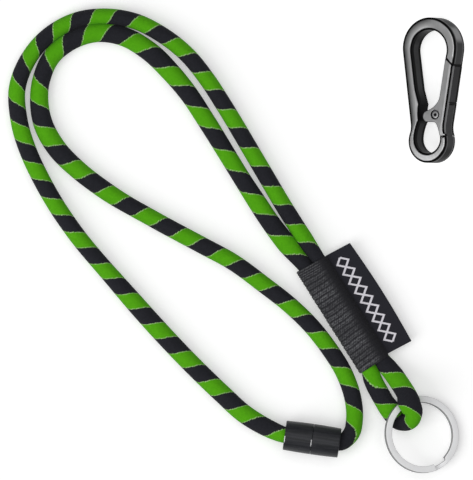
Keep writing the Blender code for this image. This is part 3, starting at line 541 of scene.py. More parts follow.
def painted_band_shading(look, x, y):
    """Painted light and shade on the ground face: dark on the outer left, lighter inwards, to the right and
    under the eye.
    """
    tiny = 0.001
    square = x * x
    above = look.most(y - HOOK_TOP_Y, 0.0)
    below = look.most(HOOK_TOP_Y - y, 0.0)
    reach = look.root(square + above * above)
    side = x / look.most(reach, tiny)
    inward = (HOOK_RADIUS - (reach + below * math.tan(SIDE_TAPER))) / HOOK_BAND
    left_tone = look.scale(inward - 0.10, 0.0, 0.78)
    right_tone = look.scale(inward, 0.48, 0.38)
    arm = left_tone + look.ease(side, -0.35, 0.45) * (right_tone - left_tone)
    drop = EYE_Y - y
    under = drop / look.most(look.root(square + drop * drop), tiny)
    in_eye = look.ease(y, EYE_Y + 0.010, EYE_Y + 0.002)
    return arm + in_eye * (look.scale(under, 0.46, 0.78) - arm)


def toned(colour, share):
    return tuple(part * share for part in colour)


def hook_metal(name, wall, is_gate):
    """Dark plated metal with ground faces, and painted light and shade: a painted tone on the faces, a
    painted highlight or painted black shade on the edges by their turn, painted highlights and painted black
    shade on the walls.
    """
    look = Look(name, Specular_IOR_Level=0.02)
    place = look.place()
    x, y, z = look.parts(place)
    turn_x, turn_y, turn_z = look.slope()
    tilt = abs(turn_z)
    depth = abs(z)
    grind = look.noise(place, (2600.0, 320.0, 900.0), 3.0)
    black = (0.0, 0.0, 0.0)
    # Near black, for painted shade and for seam lines
    shade_and_seam_black = (0.0015, 0.0015, 0.0018)
    tiny = 0.001
    if is_gate:
        # Painted highlight: the gate's face is lighter along its outer edge
        from_side = side_x(0.0) - (x - y * math.tan(SIDE_TAPER))
        light = look.scale(look.ease(from_side, 0.0014, 0.0018), 0.68, 0.40)
    else:
        light = painted_band_shading(look, x, y)
    light = light * look.scale(grind, 0.90, 1.10)
    ground = look.mix(light, black, (1.0, 1.0, 1.01))
    # Rounded edges: a painted highlight where they turn to the right, painted black shade elsewhere
    level = look.root(1.0 - look.least(tilt * tilt, 1.0))
    right = look.most(turn_x, 0.0) / look.most(level, tiny)
    down = look.most(turn_y * -1.0, 0.0) / look.most(level, tiny)
    right = look.ease(right, 0.55, 0.90) * look.ease(down, 0.60, 0.25)
    painted_edge_highlight = look.mix(look.ease(x, -0.001, 0.001), (0.46, 0.46, 0.465), (0.66, 0.66, 0.665))
    ground = look.mix(look.ease(level, 0.02, 0.06) * right, ground, painted_edge_highlight)
    # The back face is darker, with the front's painted light and shade at about a third
    back = look.mix(light, black, (0.32, 0.32, 0.325))
    ground = look.mix(look.ease(z, -0.001, 0.001), back, ground)
    high = look.ease(depth, HOOK_HALF - 0.0009, HOOK_HALF - 0.0008)
    is_face = look.ease(level - right * 0.09, 0.14, 0.02) * high
    # Walls: dark plating, with painted shade, a painted shadow and painted highlights
    plated = look.mix(look.noise(place, 120.0), toned(wall, 0.75), toned(wall, 1.25))
    # Painted shade: walls that face down or up are darker
    plated = look.mix(look.ease(turn_y, -0.15, -0.55), plated, toned(wall, 0.4))
    plated = look.mix(look.ease(turn_y, 0.70, 0.95), plated, toned(wall, 0.4))
    right_wall = look.ease(x, 0.002, 0.004) * look.ease(turn_x, 0.15, 0.35)
    inner_wall = look.ease(x, 0.001, -0.001) * look.ease(turn_x, 0.2, 0.5)
    # Painted shadow: the inner wall in the spine's hollow beside the lobe is near black
    hollow = look.band(y, EYE_Y + 0.0070, EYE_Y + 0.0090, EYE_Y + 0.0150, EYE_Y + 0.0230)
    plated = look.mix(hollow * inner_wall, plated, (0.001, 0.001, 0.0012))
    if is_gate:
        shelf = look.ease(depth, HOOK_HALF - 0.0019, HOOK_HALF - 0.0017)
        seam = look.band(y, WALL_SEAM_Y - 0.0022, WALL_SEAM_Y - 0.0010, WALL_SEAM_Y, WALL_SEAM_Y + 0.0003)
        plated = look.mix(seam * right_wall, plated, toned(wall, 0.2))
        # Painted shade: the rebate is black, and a painted highlight lightens its floor
        plated = look.mix(shelf, plated, shade_and_seam_black)
        plated = look.mix(shelf * look.ease(tilt, 0.90, 0.97), plated, (0.20, 0.20, 0.205))
    else:
        # Painted highlight on the outer wall where it faces up and to the right
        gleam_x = 0.883
        gleam_y = 0.469
        facing = turn_x * gleam_x + turn_y * gleam_y
        gleam = look.ease(facing, 0.94, 0.998) * right_wall * look.ease(y, 0.0, 0.004)
        plated = look.mix(gleam, plated, (0.36, 0.36, 0.365))
        # Painted highlight: a light line along the outer wall, below its top edge
        line = look.ease(depth, HOOK_HALF - 0.0021, HOOK_HALF - 0.0016) * right_wall
        plated = look.mix(line, plated, (0.15, 0.15, 0.155))
        # Painted black shade: a strip along the top of the walls, wider on the inner wall
        strip = look.ease(depth, HOOK_HALF - 0.0013, HOOK_HALF - 0.0010)
        wide_strip = look.ease(depth, HOOK_HALF - 0.0026, HOOK_HALF - 0.0018) * inner_wall
        plated = look.mix(look.most(strip, wide_strip), plated, shade_and_seam_black)
    nose_line = look.ease(abs(y - NOSE_OUTER_Y), 0.0007, 0.0004)
    plated = look.mix(nose_line * right_wall, plated, shade_and_seam_black)
    look.colour(look.mix(is_face, plated, ground))
    look.set("Metallic", is_face)
    look.rough(look.scale(grind, 0.30, 0.44))
    look.relief(grind, 0.04, 0.00004)
    return look.material


def rivet_metal():
    """Light rivet, with painted shadow making its punched middle black and painted shade darkening its
    rounded rim.
    """
    look = Look("rivet_metal", Specular_IOR_Level=0.15)
    place = look.place()
    x, y, _ = look.parts(place)
    lit = look.mix(look.noise(place, 800.0), (0.34, 0.34, 0.345), (0.46, 0.46, 0.465))
    # Painted shadow in the dimple and painted shade on the rounded rim; only the band between is light and
    # metallic
    ring = look.band(look.root(x * x + y * y), 0.00060, 0.00085, 0.0012, 0.0016)
    look.colour(look.mix(ring, (0.006, 0.006, 0.007), lit))
    look.set("Metallic", ring)
    look.rough(0.36)
    return look.material


def floor_paper():
    """White paper that is a little brighter to the camera, so that only the shadow shows on it."""
    look = Look("floor_paper", Specular_IOR_Level=0.1)
    spot = look.place()
    look.colour(look.mix(look.noise(spot, 400.0), (0.77, 0.77, 0.77), (0.79, 0.79, 0.79)))
    look.rough(0.9)
    path = look.node("ShaderNodeLightPath")
    rays = [look.give(path, f"Is {kind} Ray") for kind in ("Camera", "Glossy", "Transmission")]
    seen = look.least(rays[0] + rays[1] + rays[2], 1.0)
    # Painted light: the paper glows brighter under the hook, which washes out the hook's shadow, and far out,
    # than under the lanyard
    hook_spot = (HOOK_X, HOOK_Y, 0.0)
    from_hook = look.add("ShaderNodeVectorMath", spot, hook_spot, operation="DISTANCE", output="Value")
    from_middle = look.add("ShaderNodeVectorMath", spot, operation="LENGTH", output="Value")
    painted_light_mask = look.most(look.ease(from_hook, 0.066, 0.040), look.ease(from_middle, 0.15, 0.30))
    look.set("Emission Color", (1.0, 1.0, 1.0))
    look.set("Emission Strength", seen * look.scale(painted_light_mask, 0.335, 0.62))
    return look.material


def linked(name, data):
    thing = bpy.data.objects.new(name, data)
    bpy.context.scene.collection.objects.link(thing)
    return thing


def dress(mesh, material):
    mesh.materials.clear()
    mesh.materials.append(material)


def new_piece(name, mesh, material, matrix=None):
    piece = linked(name, mesh)
    if matrix is not None:
        piece.matrix_world = matrix
    dress(mesh, material)
    return piece


@contextmanager
def edited(mesh):
    """A mesh opened for editing and then written back."""
    build = bmesh.new()
    build.from_mesh(mesh)
    yield build
    build.to_mesh(mesh)
    build.free()


def mark_points(mesh, name, values):
    mesh.attributes.new(name, "FLOAT", "POINT").data.foreach_set("value", values)


def swept_mesh(name, rings, marks=None, capped=True):
    """Quads between rings of points that go once round; marks are places along and across for the cloth."""
    count = len(rings[0])
    last = len(rings) - 1
    corners = []
    for i in range(last):
        corners += [((i, j), (i, j + 1), (i + 1, j + 1), (i + 1, j)) for j in range(count)]
    if capped:
        corners.append([(0, j) for j in range(count)][::-1])
        corners.append([(last, j) for j in range(count)])
    verts = [tuple(p) for ring in rings for p in ring]
    mesh = bpy.data.meshes.new(name)
    mesh.from_pydata(verts, [], [[i * count + j % count for i, j in face] for face in corners])
    if marks:
        alongs, acrosses = marks
        spots = [(alongs[i], acrosses[j]) for face in corners for i, j in face]
        layer = mesh.uv_layers.new(name="cloth")
        layer.data.foreach_set("uv", [part for spot in spots for part in spot])
    mesh.polygons.foreach_set("use_smooth", [True] * len(mesh.polygons))
    mesh.update()
    return mesh


def tidy_normals(mesh):
    with edited(mesh) as build:
        bmesh.ops.remove_doubles(build, verts=build.verts, dist=WELD)
        bmesh.ops.recalc_face_normals(build, faces=build.faces)


def sharpen(mesh, degrees):
    """Smooth shading, except across edges sharper than the angle."""
    mesh.polygons.foreach_set("use_smooth", [True] * len(mesh.polygons))
    mesh.set_sharp_from_angle(angle=math.radians(degrees))


def turned_piece(name, profile, closed, material, matrix, steps=96, widen=1.0):
    """A profile of (radius, height) points turned about local Z, and drawn out along local Y."""
    count = len(profile)
    verts = []
    faces = []
    for i in range(steps):
        a = 2 * math.pi * i / steps
        verts += [(r * math.cos(a), r * math.sin(a) * widen, h) for r, h in profile]
        k = (i + 1) % steps
        for j in range(count if closed else count - 1):
            n = (j + 1) % count
            faces.append((i * count + j, k * count + j, k * count + n, i * count + n))
    mesh = bpy.data.meshes.new(name)
    mesh.from_pydata(verts, [], faces)
    tidy_normals(mesh)
    sharpen(mesh, 38)
    return new_piece(name, mesh, material, matrix)


def rounded(corner, before, after, radius):
    """Points that round a corner of a profile."""
    middle = Vector(corner)
    start, end = [middle + (Vector(p) - middle).normalized() * radius for p in (before, after)]
    return bend(start, middle, end, 4)


def marks_along(points):
    """Distance along a row of points to each of them."""
    marks = [0.0]
    for before, after in zip(points, points[1:]):
        marks.append(marks[-1] + (after - before).xyz.length)
    return marks


def smooth_route(points):
    """Dense points of a smooth curve through (x, y, z, diameter) points, as in the solids."""
    per_span = 48
    rows = [Vector(p) for p in points]
    marks = marks_along(rows)
    slopes = [(rows[1] - rows[0]) / marks[1]]
    for i in range(1, len(rows) - 1):
        back = marks[i] - marks[i - 1]
        ahead = marks[i + 1] - marks[i]
        come = (rows[i] - rows[i - 1]) / back
        go = (rows[i + 1] - rows[i]) / ahead
        slopes.append((come * ahead + go * back) / (back + ahead))
    slopes.append((rows[-1] - rows[-2]) / (marks[-1] - marks[-2]))
    dense = []
    for i in range(len(rows) - 1):
        span = marks[i + 1] - marks[i]
        for k in range(per_span):
            t = k / per_span
            point = (
                rows[i] * (2 * t**3 - 3 * t**2 + 1)
                + rows[i + 1] * (3 * t**2 - 2 * t**3)
                + slopes[i] * span * (t**3 - 2 * t**2 + t)
                + slopes[i + 1] * span * (t**3 - t**2)
            )
            point.w = rows[i].w + (rows[i + 1].w - rows[i].w) * t
            dense.append(point)
    dense.append(rows[-1])
    return dense


def even_route(dense, step):
    """Points at even steps along a dense route, as (place, diameter, station)."""
    marks = marks_along(dense)
    count = round(marks[-1] / step)
    rows = []
    i = 0
    for n in range(count + 1):
        station = marks[-1] * n / count
        while i < len(dense) - 2 and marks[i + 1] < station:
            i += 1
        t = (station - marks[i]) / (marks[i + 1] - marks[i])
        point = dense[i].lerp(dense[i + 1], t)
        rows.append((point.xyz, point.w, station))
    return rows


def table_value(table, station, column=1, held=False):
    """A value from a list of stations: straight between rows and past the ends, or eased and held there."""
    if held:
        station = min(max(station, table[0][0]), table[-1][0])
    i = 0
    while i < len(table) - 2 and table[i + 1][0] < station:
        i += 1
    low, high = table[i], table[i + 1]
    t = (station - low[0]) / (high[0] - low[0])
    if held:
        t = t * t * (3 - 2 * t)
    return low[column] + (high[column] - low[column]) * t


def sleeve_point(along, across, up=0.0):
    turn = Matrix.Rotation(SLEEVE_ANGLE, 3, "Z")
    return Vector((SLEEVE_X, SLEEVE_Y, SLEEVE_RADIUS)) + turn @ Vector((along, across, up))


def connector_point(along):
    turn = Matrix.Rotation(CONNECTOR_ANGLE, 3, "Z")
    return Vector((CONNECTOR_X, CONNECTOR_Y, BARREL_MIDDLE_RADIUS)) + turn @ Vector((along, 0.0, 0.0))


def strand_points(across):
    inner_end = SLEEVE_LENGTH / 2 - STRAND_JOIN_DEPTH
    mouth = -SLEEVE_LENGTH / 2 - SEAT_GAP
    return [(*sleeve_point(along, across), STRAND_DIAMETER) for along in (inner_end, 0.0, mouth)]


def barrel_points(side):
    cut_end = side * (FERRULE_BOTTOM + SEAT_GAP / 2)
    shoulder = side * FERRULE_TOP
    mouth = side * (SEAT_GAP + BARREL_LENGTH)
    squeezed = (CORD_END_DIAMETER + CORD_DIAMETER) / 2
    stations = ((cut_end, CORD_END_DIAMETER), (shoulder, CORD_END_DIAMETER), (mouth, squeezed))
    return [(*connector_point(along), diameter) for along, diameter in stations]


def table_points(route):
    return [(x, y, CORD_DIAMETER / 2 + rise, CORD_DIAMETER) for x, y, rise in route]


def cord_piece(name, points, zero, material, lists):
    """A striped tube along a route. zero is the point that the stations of its three lists start from."""
    twist, lean, press = lists
    rows = even_route(smooth_route(points), CORD_RINGS)
    origin = min(rows, key=lambda row: (row[0] - zero).length)[2]
    places = [row[0] for row in rows]
    angles = [2 * math.pi * j / CORD_SIDES for j in range(CORD_SIDES)]
    rings = []
    middles = []
    turns = []
    for i, (place, diameter, station) in enumerate(rows):
        ahead = places[min(i + 1, len(places) - 1)]
        heading = (ahead - places[max(i - 1, 0)]).normalized()
        up = (Vector((0.0, 0.0, 1.0)) - heading * heading.z).normalized()
        side = heading.cross(up)
        along = station - origin
        left, right = [table_value(press, along / MILLIMETRE, k, True) * MILLIMETRE for k in (1, 2)]
        wide = side * (diameter + left + right) / 2
        deep = up * diameter / 2
        centre = place + side * (right - left) / 2
        rings.append([centre + deep * math.cos(a) + wide * math.sin(a) for a in angles])
        middles.append(centre)
        made = table_value(twist, along)
        share = table_value(lean, along, 1, True) / (2 * math.pi)
        turns += [made - share * math.sin(a) for a in angles]
    alongs = [row[2] / MILLIMETRE for row in rows]
    mesh = swept_mesh(name, rings, (alongs, [j / CORD_SIDES for j in range(CORD_SIDES + 1)]))
    mark_points(mesh, "turns", turns)
    return new_piece(name, mesh, material), middles, rows[-1][2]


def build_cords():
    look = striped_cord()
    mouth = SLEEVE_LENGTH / 2 + SEAT_GAP
    outer = barrel_points(-1) + table_points(OUTER_ROUTE) + strand_points(STRAND_OFFSET)[::-1]
    inner = strand_points(-STRAND_OFFSET) + table_points(INNER_ROUTE) + barrel_points(1)[::-1]
    plug_mouth = connector_point(-SEAT_GAP - BARREL_LENGTH)
    upper_mouth = sleeve_point(-mouth, -STRAND_OFFSET)
    lists = (OUTER_TWIST, OUTER_LEAN, OUTER_PRESS)
    piece, path, length = cord_piece("striped_outer_run", outer, plug_mouth, look, lists)
    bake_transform(piece)
    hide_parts("cord_outer_run")
    lists = (INNER_TWIST, INNER_LEAN, INNER_PRESS)
    piece, path, length = cord_piece("striped_inner_run", inner, upper_mouth, look, lists)
    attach(piece, "lanyard")
    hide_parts("cord_inner_run")
    inside = SLEEVE_LENGTH / 2 - STRAND_JOIN_DEPTH + STRAND_JOIN_GAP
    start = sleeve_point(SLEEVE_LENGTH / 2, 0.0)
    loop = [(*sleeve_point(along, STRAND_OFFSET), STRAND_DIAMETER) for along in (inside, mouth)]
    loop += [(start.x + x, start.y + y, z, LOOP_DIAMETER) for x, y, z in LOOP_ROUTE]
    loop += [(*sleeve_point(along, -STRAND_OFFSET), STRAND_DIAMETER) for along in (mouth, inside)]
    lower_mouth = sleeve_point(mouth, STRAND_OFFSET)
    lists = (LOOP_TWIST, LOOP_LEAN, LOOP_PRESS)
    piece, path, length = cord_piece("striped_ring_loop", loop, lower_mouth, look, lists)
    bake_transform(piece)
    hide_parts("cord_ring_loop")


def sleeve_arc(middle, radius, start, end, steps):
    angles = [start + (end - start) * i / steps for i in range(steps + 1)]
    return [(middle + radius * math.cos(a), radius * math.sin(a), a) for a in angles]


def sleeve_profile():
    """Outer and inner points across the sleeve, from the upper lip of its slit round to the lower lip."""
    slit = LABEL_THICKNESS / 2 + SEAT_GAP
    quarter = math.pi / 2
    flat = 8
    profiles = []
    for radius, swell, steps in ((SLEEVE_RADIUS, SLEEVE_SWELL, 16), (SLEEVE_BORE, 0.0, 12)):
        lip = math.asin(slit / radius)
        left = STRAND_OFFSET + swell
        across = [STRAND_OFFSET - (STRAND_OFFSET + left) * i / flat for i in range(1, flat)]
        points = sleeve_arc(STRAND_OFFSET, radius, lip, quarter, steps)
        points += [(x, radius, quarter) for x in across]
        points += sleeve_arc(-left, radius, quarter, 3 * quarter, 2 * steps)
        points += [(x, -radius, 3 * quarter) for x in across[::-1]]
        points += sleeve_arc(STRAND_OFFSET, radius, 3 * quarter, 4 * quarter - lip, steps)
        profiles.append(points)
    return profiles


def rib_at(along, across):
    """Height of the ribs, 0 to 1: pairs across the webbing, close at its upper end, faint by the label."""
    close_length = 0.0040
    close_pitch = 0.0010
    fade_start = 0.0012
    fade_width = 0.0030
    wander = 0.00012 * math.sin(across * 420.0 + along * 90.0)
    wander += 0.00008 * math.sin(across * 900.0 - along * 310.0)
    phase = ((along + wander + 0.06 * across) / RIB_PITCH) % 1.0
    swell = math.sin(math.pi * phase) ** 0.7
    groove = 0.55 * math.exp(-(((phase - 0.55) / 0.08) ** 2))
    rib = (swell - groove) * (0.85 + 0.15 * math.sin(along * 517.0 + 1.0))
    top = along + SLEEVE_LENGTH / 2
    if top < close_length:
        rib = 0.75 * math.sin(math.pi * ((top / close_pitch) % 1.0)) ** 0.8
    fade = 1.0 - 0.90 * min(max((across - fade_start) / fade_width, 0.0), 1.0)
    return max(rib, 0.0) * fade


def build_sleeve():
    outer, inner = sleeve_profile()
    count = 340
    end_rows = 6
    end_sink = 0.00025
    rings = []
    ribs = []
    stations = [SLEEVE_LENGTH * (i / count - 0.5) for i in range(count + 1)]
    for i, along in enumerate(stations):
        lift = SLEEVE_SKEW * (1.0 - i / count)
        rolled = end_sink * max(1.0 - min(i, count - i) / end_rows, 0.0) ** 2
        ring = []
        row = []
        for across, up, a in outer:
            rib = rib_at(along, across)
            sink = RIB_HEIGHT * (1.0 - rib) + rolled
            skewed = along + lift * (across - SLEEVE_TURN)
            ring.append(sleeve_point(skewed, across - sink * math.cos(a), up - sink * math.sin(a)))
            row.append(rib)
        for across, up, a in inner[::-1]:
            ring.append(sleeve_point(along + lift * (across - SLEEVE_TURN), across, up))
            row.append(0.0)
        rings.append(ring[::-1])
        ribs += row[::-1]
    size = len(rings[0])
    alongs = [along / MILLIMETRE for along in stations]
    around = [mark / MILLIMETRE for mark in marks_along(rings[0] + rings[0][:1])]
    mesh = swept_mesh("ribbed_sleeve", rings, (alongs, around), capped=False)
    mark_points(mesh, "rib", ribs)
    # The ends are strips from the outer edge to the inner one
    turned = len(inner)
    spans = len(outer) - 1
    with edited(mesh) as build:
        build.verts.ensure_lookup_table()
        for row, flip in ((0, False), (count, True)):
            first = row * size + turned
            for j in range(spans):
                low = first - 1 - j * (turned - 1) // spans
                high = first - 1 - (j + 1) * (turned - 1) // spans
                corners = [first + j, first + j + 1, high] + ([low] if high != low else [])
                if flip:
                    corners.reverse()
                build.faces.new([build.verts[k] for k in corners])
        bmesh.ops.recalc_face_normals(build, faces=build.faces)
    sharpen(mesh, 60)
    piece = new_piece("ribbed_sleeve", mesh, ribbed_webbing())
    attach(piece, "lanyard")
    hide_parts("webbing_sleeve")


def fold_arc(middle, half, steps):
    """Points round the label's fold, the other way round where half is negative."""
    angles = [math.pi * (i / steps - 0.5) for i in range(1, steps)]
    return [(middle + abs(half) * math.cos(a), half * math.sin(a), middle) for a in angles]


def build_label():
    """Hairpin fold of two plies, with a little wave along its free edge."""
    seam = STRAND_OFFSET + SLEEVE_RADIUS
    half = LABEL_THICKNESS / 2
    gap = LABEL_FOLD_GAP / 2
    fold = LABEL_REACH - half
    tail = -WEBBING_THICKNESS
    steps = 16
    flat = [tail + (fold - tail) * i / steps for i in range(steps + 1)]
    profile = [(x, -half, x) for x in flat] + fold_arc(fold, half, 8)
    profile += [(x, half, x) for x in flat[::-1]]
    profile += [(x, gap, x) for x in flat] + fold_arc(fold, -gap, 6)
    profile += [(x, -gap, x) for x in flat[::-1]]
    count = 72
    ripple = 0.00022
    ripple_rate = 190.0
    ripple_start = 0.6
    lift = 0.0002
    bulge = 0.0008
    drawn_in = 0.0002
    lowered = 0.0003
    stretch = 0.012
    dragged = 0.0008
    middle = (LABEL_LENGTH - SLEEVE_LENGTH) / 2
    stations = [LABEL_LENGTH * (i / count - 0.5) for i in range(count + 1)]
    rings = []
    for along in stations:
        ring = []
        for x, up, reach in profile:
            free = max(reach, 0.0) / LABEL_REACH
            wave = free**2 * (ripple * math.sin(along * ripple_rate + ripple_start) + lift)
            bow = free * (bulge * math.cos(math.pi * along / LABEL_LENGTH) - drawn_in)
            down = lowered + stretch * along + dragged * free
            ring.append(sleeve_point(middle + along + down, seam + x + bow, up + wave))
        rings.append(ring)
    alongs = [along / MILLIMETRE for along in stations]
    acrosses = [p[2] / MILLIMETRE for p in profile + profile[:1]]
    mesh = swept_mesh("folded_label", rings, (alongs, acrosses))
    with edited(mesh) as build:
        bmesh.ops.recalc_face_normals(build, faces=build.faces)
        bmesh.ops.triangulate(build, faces=[f for f in build.faces if len(f.verts) > 4])
    sharpen(mesh, 50)
    piece = new_piece("folded_label", mesh, label_weave())
    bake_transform(piece)
    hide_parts("woven_label")


def barrel_profile():
    bottom = BARREL_SEAM / 2
    top = SEAT_GAP / 2 + BARREL_LENGTH + BARREL_MORE
    mouth = CORD_DIAMETER / 2 + FIT_GAP
    chamber = BARREL_END_RADIUS - BARREL_WALL
    belly = []
    steps = 12
    for i in range(1, steps):
        height = top - BARREL_EDGE - (BARREL_LENGTH - 2 * BARREL_EDGE) * i / steps
        taper = (BARREL_MIDDLE_RADIUS - BARREL_END_RADIUS) * ((height - bottom) / BARREL_LENGTH) ** 2
        belly.append((BARREL_MIDDLE_RADIUS - taper, height))
    points = [(mouth, top - BARREL_SHOULDER)]
    points += rounded((mouth, top), points[0], (BARREL_END_RADIUS, top), BARREL_EDGE / 2)
    points += rounded((BARREL_END_RADIUS, top), (mouth, top), belly[0], BARREL_EDGE)
    points += belly
    points += rounded((BARREL_MIDDLE_RADIUS, bottom), belly[-1], (chamber, bottom), BARREL_EDGE / 2)
    points += [(chamber, bottom), (chamber, top - BARREL_SHOULDER)]
    return points


def build_connector():
    charcoal = streaked_plastic_with_highlights()
    white = moulded_plastic("snap_plastic", (0.52, 0.52, 0.50), (0.68, 0.68, 0.66), 0.35, 0.5)
    steel = plain_metal("crimp_steel", (0.48, 0.48, 0.49), (0.62, 0.62, 0.63), 0.22, 0.4)
    place = Matrix.Translation((CONNECTOR_X, CONNECTOR_Y, BARREL_MIDDLE_RADIUS))
    place = place @ Matrix.Rotation(CONNECTOR_ANGLE, 4, "Z") @ Matrix.Rotation(math.pi / 2, 4, "Y")
    about = place @ Matrix.Rotation(math.pi, 4, "X")
    socket = turned_piece("socket_half", barrel_profile(), True, charcoal, place, 96, BARREL_WIDEN)
    plug = turned_piece("plug_half", barrel_profile(), True, charcoal, about, 96, BARREL_WIDEN)
    # Only the plug half carries the painted rim highlights
    for piece, side in ((socket, 0.0), (plug, 1.0)):
        mark_points(piece.data, "highlight_side", [side] * len(piece.data.vertices))
    for piece, body, node in ((socket, "lanyard", "socket_barrel"), (plug, "plug", "plug_barrel")):
        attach(piece, body)
        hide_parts(node)
    for node in ("socket_insert", "plug_snap_collar"):
        dress(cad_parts[node].data, white)
    for node in ("socket_ferrule", "plug_ferrule"):
        dress(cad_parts[node].data, steel)


def build_ring():
    steel = ring_metal()
    half_band = RING_BAND / 2
    half_wire = RING_WIRE / 2
    section = []
    corners = [(half_band, half_wire), (-half_band, half_wire)]
    corners += [(-half_band, -half_wire), (half_band, -half_wire)]
    for i, corner in enumerate(corners):
        section += rounded(corner, corners[i - 1], corners[(i + 1) % 4], RING_EDGE)
    radius = (RING_DIAMETER - RING_BAND) / 2
    level = (RING_WIRE + RING_COIL_GAP) / 2
    coil = 2 * math.pi - RING_RAMP
    total = 4 * math.pi - RING_RAMP
    count = 300
    rings = []
    for i in range(count + 1):
        turned = total * i / count
        fall = min(max((turned - coil) / RING_RAMP, 0.0), 1.0)
        fall = fall * fall * (3 - 2 * fall)
        angle = RING_SPLIT_ANGLE - turned
        lift = level * (1 - 2 * fall)
        near = min(turned - coil, total - 2 * math.pi - turned + RING_RAMP) / RING_CUT
        ground = RING_GROUND * min(max(near, 0.0), 1.0)
        ring = []
        for out, up in section:
            reach = radius + out + (ground if out < 0 else 0.0)
            ring.append(Vector((reach * math.cos(angle), reach * math.sin(angle), lift + up)))
        rings.append(ring)
    mesh = swept_mesh("key_ring", rings)
    tidy_normals(mesh)
    sharpen(mesh, 45)
    lean_axis = Vector((math.sin(RING_HIGH_SIDE), -math.cos(RING_HIGH_SIDE), 0.0))
    place = Matrix.Translation(RING_CENTRE) @ Matrix.Rotation(RING_TILT, 4, lean_axis)
    mesh.transform(Matrix.Scale(RING_STRETCH, 4, lean_axis))
    piece = new_piece("key_ring", mesh, steel, place)
    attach(piece, "ring")
    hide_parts("split_ring")


def arc(centre, radius, start, end, steps):
    angles = [math.radians(start + (end - start) * i / steps) for i in range(steps + 1)]
    return [(centre[0] + radius * math.cos(a), centre[1] + radius * math.sin(a)) for a in angles]


def bend(start, corner, end, steps):
    points = []
    for i in range(steps + 1):
        t = i / steps
        weights = ((1 - t) ** 2, 2 * t * (1 - t), t * t)
        ends = (start, corner, end)
        points.append(tuple(sum(w * p[k] for w, p in zip(weights, ends)) for k in (0, 1)))
    return points


def crossing(point, heading, other, other_heading):
    gap = Vector(other) - Vector(point)
    return Vector(point) + heading * (gap.cross(other_heading) / heading.cross(other_heading))


def outline_mesh(name, points, half_depth, edge=0.0, rise=0.0, rounds=6, grow=0.0):
    """A flat outline extruded both ways from its plane; its edges are rounded, edge wide and rise high."""
    straight = half_depth - rise
    curve = bpy.data.curves.new(name, "CURVE")
    curve.dimensions = "2D"
    curve.fill_mode = "BOTH"
    curve.extrude = straight
    curve.bevel_depth = edge
    curve.bevel_resolution = rounds
    curve.offset = grow - edge
    spline = curve.splines.new("POLY")
    spline.points.add(len(points) - 1)
    for point, place in zip(spline.points, points):
        point.co = (*place, 0.0, 1.0)
    spline.use_cyclic_u = True
    holder = linked(name, curve)
    graph = bpy.context.evaluated_depsgraph_get()
    mesh = bpy.data.meshes.new_from_object(holder.evaluated_get(graph))
    bpy.data.objects.remove(holder, do_unlink=True)
    bpy.data.curves.remove(curve)
    for vert in mesh.vertices:
        over = abs(vert.co.z) - straight
        if edge and over > 0:
            vert.co.z = math.copysign(straight + over * rise / edge, vert.co.z)
    tidy_normals(mesh)
    return mesh


def box_mesh(low, high):
    mesh = bpy.data.meshes.new("cutter")
    middle = (Vector(high) + Vector(low)) / 2
    place = Matrix.Translation(middle) @ Matrix.Diagonal((*(Vector(high) - Vector(low)), 1.0))
    with edited(mesh) as build:
        bmesh.ops.create_cube(build, size=1.0, matrix=place)
    return mesh


def disc_mesh(centre, radius, low, high):
    mesh = bpy.data.meshes.new("cutter")
    place = Matrix.Translation((*centre, (low + high) / 2))
    size = {"radius1": radius, "radius2": radius, "depth": high - low}
    with edited(mesh) as build:
        bmesh.ops.create_cone(build, cap_ends=True, segments=48, matrix=place, **size)
    return mesh


def combined(mesh, *steps):
    """A mesh cut and joined with others in order; steps are (operation, mesh)."""
    base = linked("base", mesh)
    spares = [base]
    for operation, other in steps:
        tool = linked("tool", other)
        spares.append(tool)
        modifier = base.modifiers.new(operation, "BOOLEAN")
        modifier.operation = operation
        modifier.solver = "EXACT"
        modifier.object = tool
    graph = bpy.context.evaluated_depsgraph_get()
    made = bpy.data.meshes.new_from_object(base.evaluated_get(graph))
    for spare in spares:
        data = spare.data
        bpy.data.objects.remove(spare, do_unlink=True)
        bpy.data.meshes.remove(data)
    return made


def side_x(y):
    touch_x = HOOK_RADIUS * math.cos(SIDE_TAPER)
    touch_y = HOOK_TOP_Y - HOOK_RADIUS * math.sin(SIDE_TAPER)
    return touch_x - (touch_y - y) * math.tan(SIDE_TAPER)


def inner_x(y):
    return side_x(y) - HOOK_BAND / math.cos(SIDE_TAPER)


def waist():
    outward = Vector((math.cos(SIDE_TAPER), -math.sin(SIDE_TAPER)))
    down = Vector((-math.sin(SIDE_TAPER), -math.cos(SIDE_TAPER)))
    offset = Vector((side_x(0.0), 0.0)) + outward * WAIST_RADIUS - Vector(EYE)
    reach = EYE_RADIUS + WAIST_RADIUS
    half = offset.dot(down)
    along = -half - math.sqrt(half**2 - offset.length_squared + reach**2)
    from_eye = offset + down * along
    eye_angle = math.degrees(math.atan2(-from_eye.y, -from_eye.x)) % 360
    return Vector(EYE) + from_eye, 180 - math.degrees(SIDE_TAPER), eye_angle


def angle_at(y, centre, radius):
    return math.degrees(math.asin((y - centre[1]) / radius))


def outer_side(bottom_y, top_y):
    centre, side_angle, eye_angle = waist()
    edge = arc(EYE, EYE_RADIUS, 0, eye_angle - 180, 16)
    edge += arc(centre, WAIST_RADIUS, eye_angle, side_angle, 14)[1:]
    edge.append((side_x(top_y), top_y))
    foot_x = EYE_RADIUS
    for (x0, y0), (x1, y1) in zip(edge, edge[1:]):
        if y0 <= bottom_y < y1:
            foot_x = x0 + (x1 - x0) * (bottom_y - y0) / (y1 - y0)
    return [(foot_x, bottom_y)] + [(x, y) for x, y in edge if y > bottom_y + HOOK_EDGE]


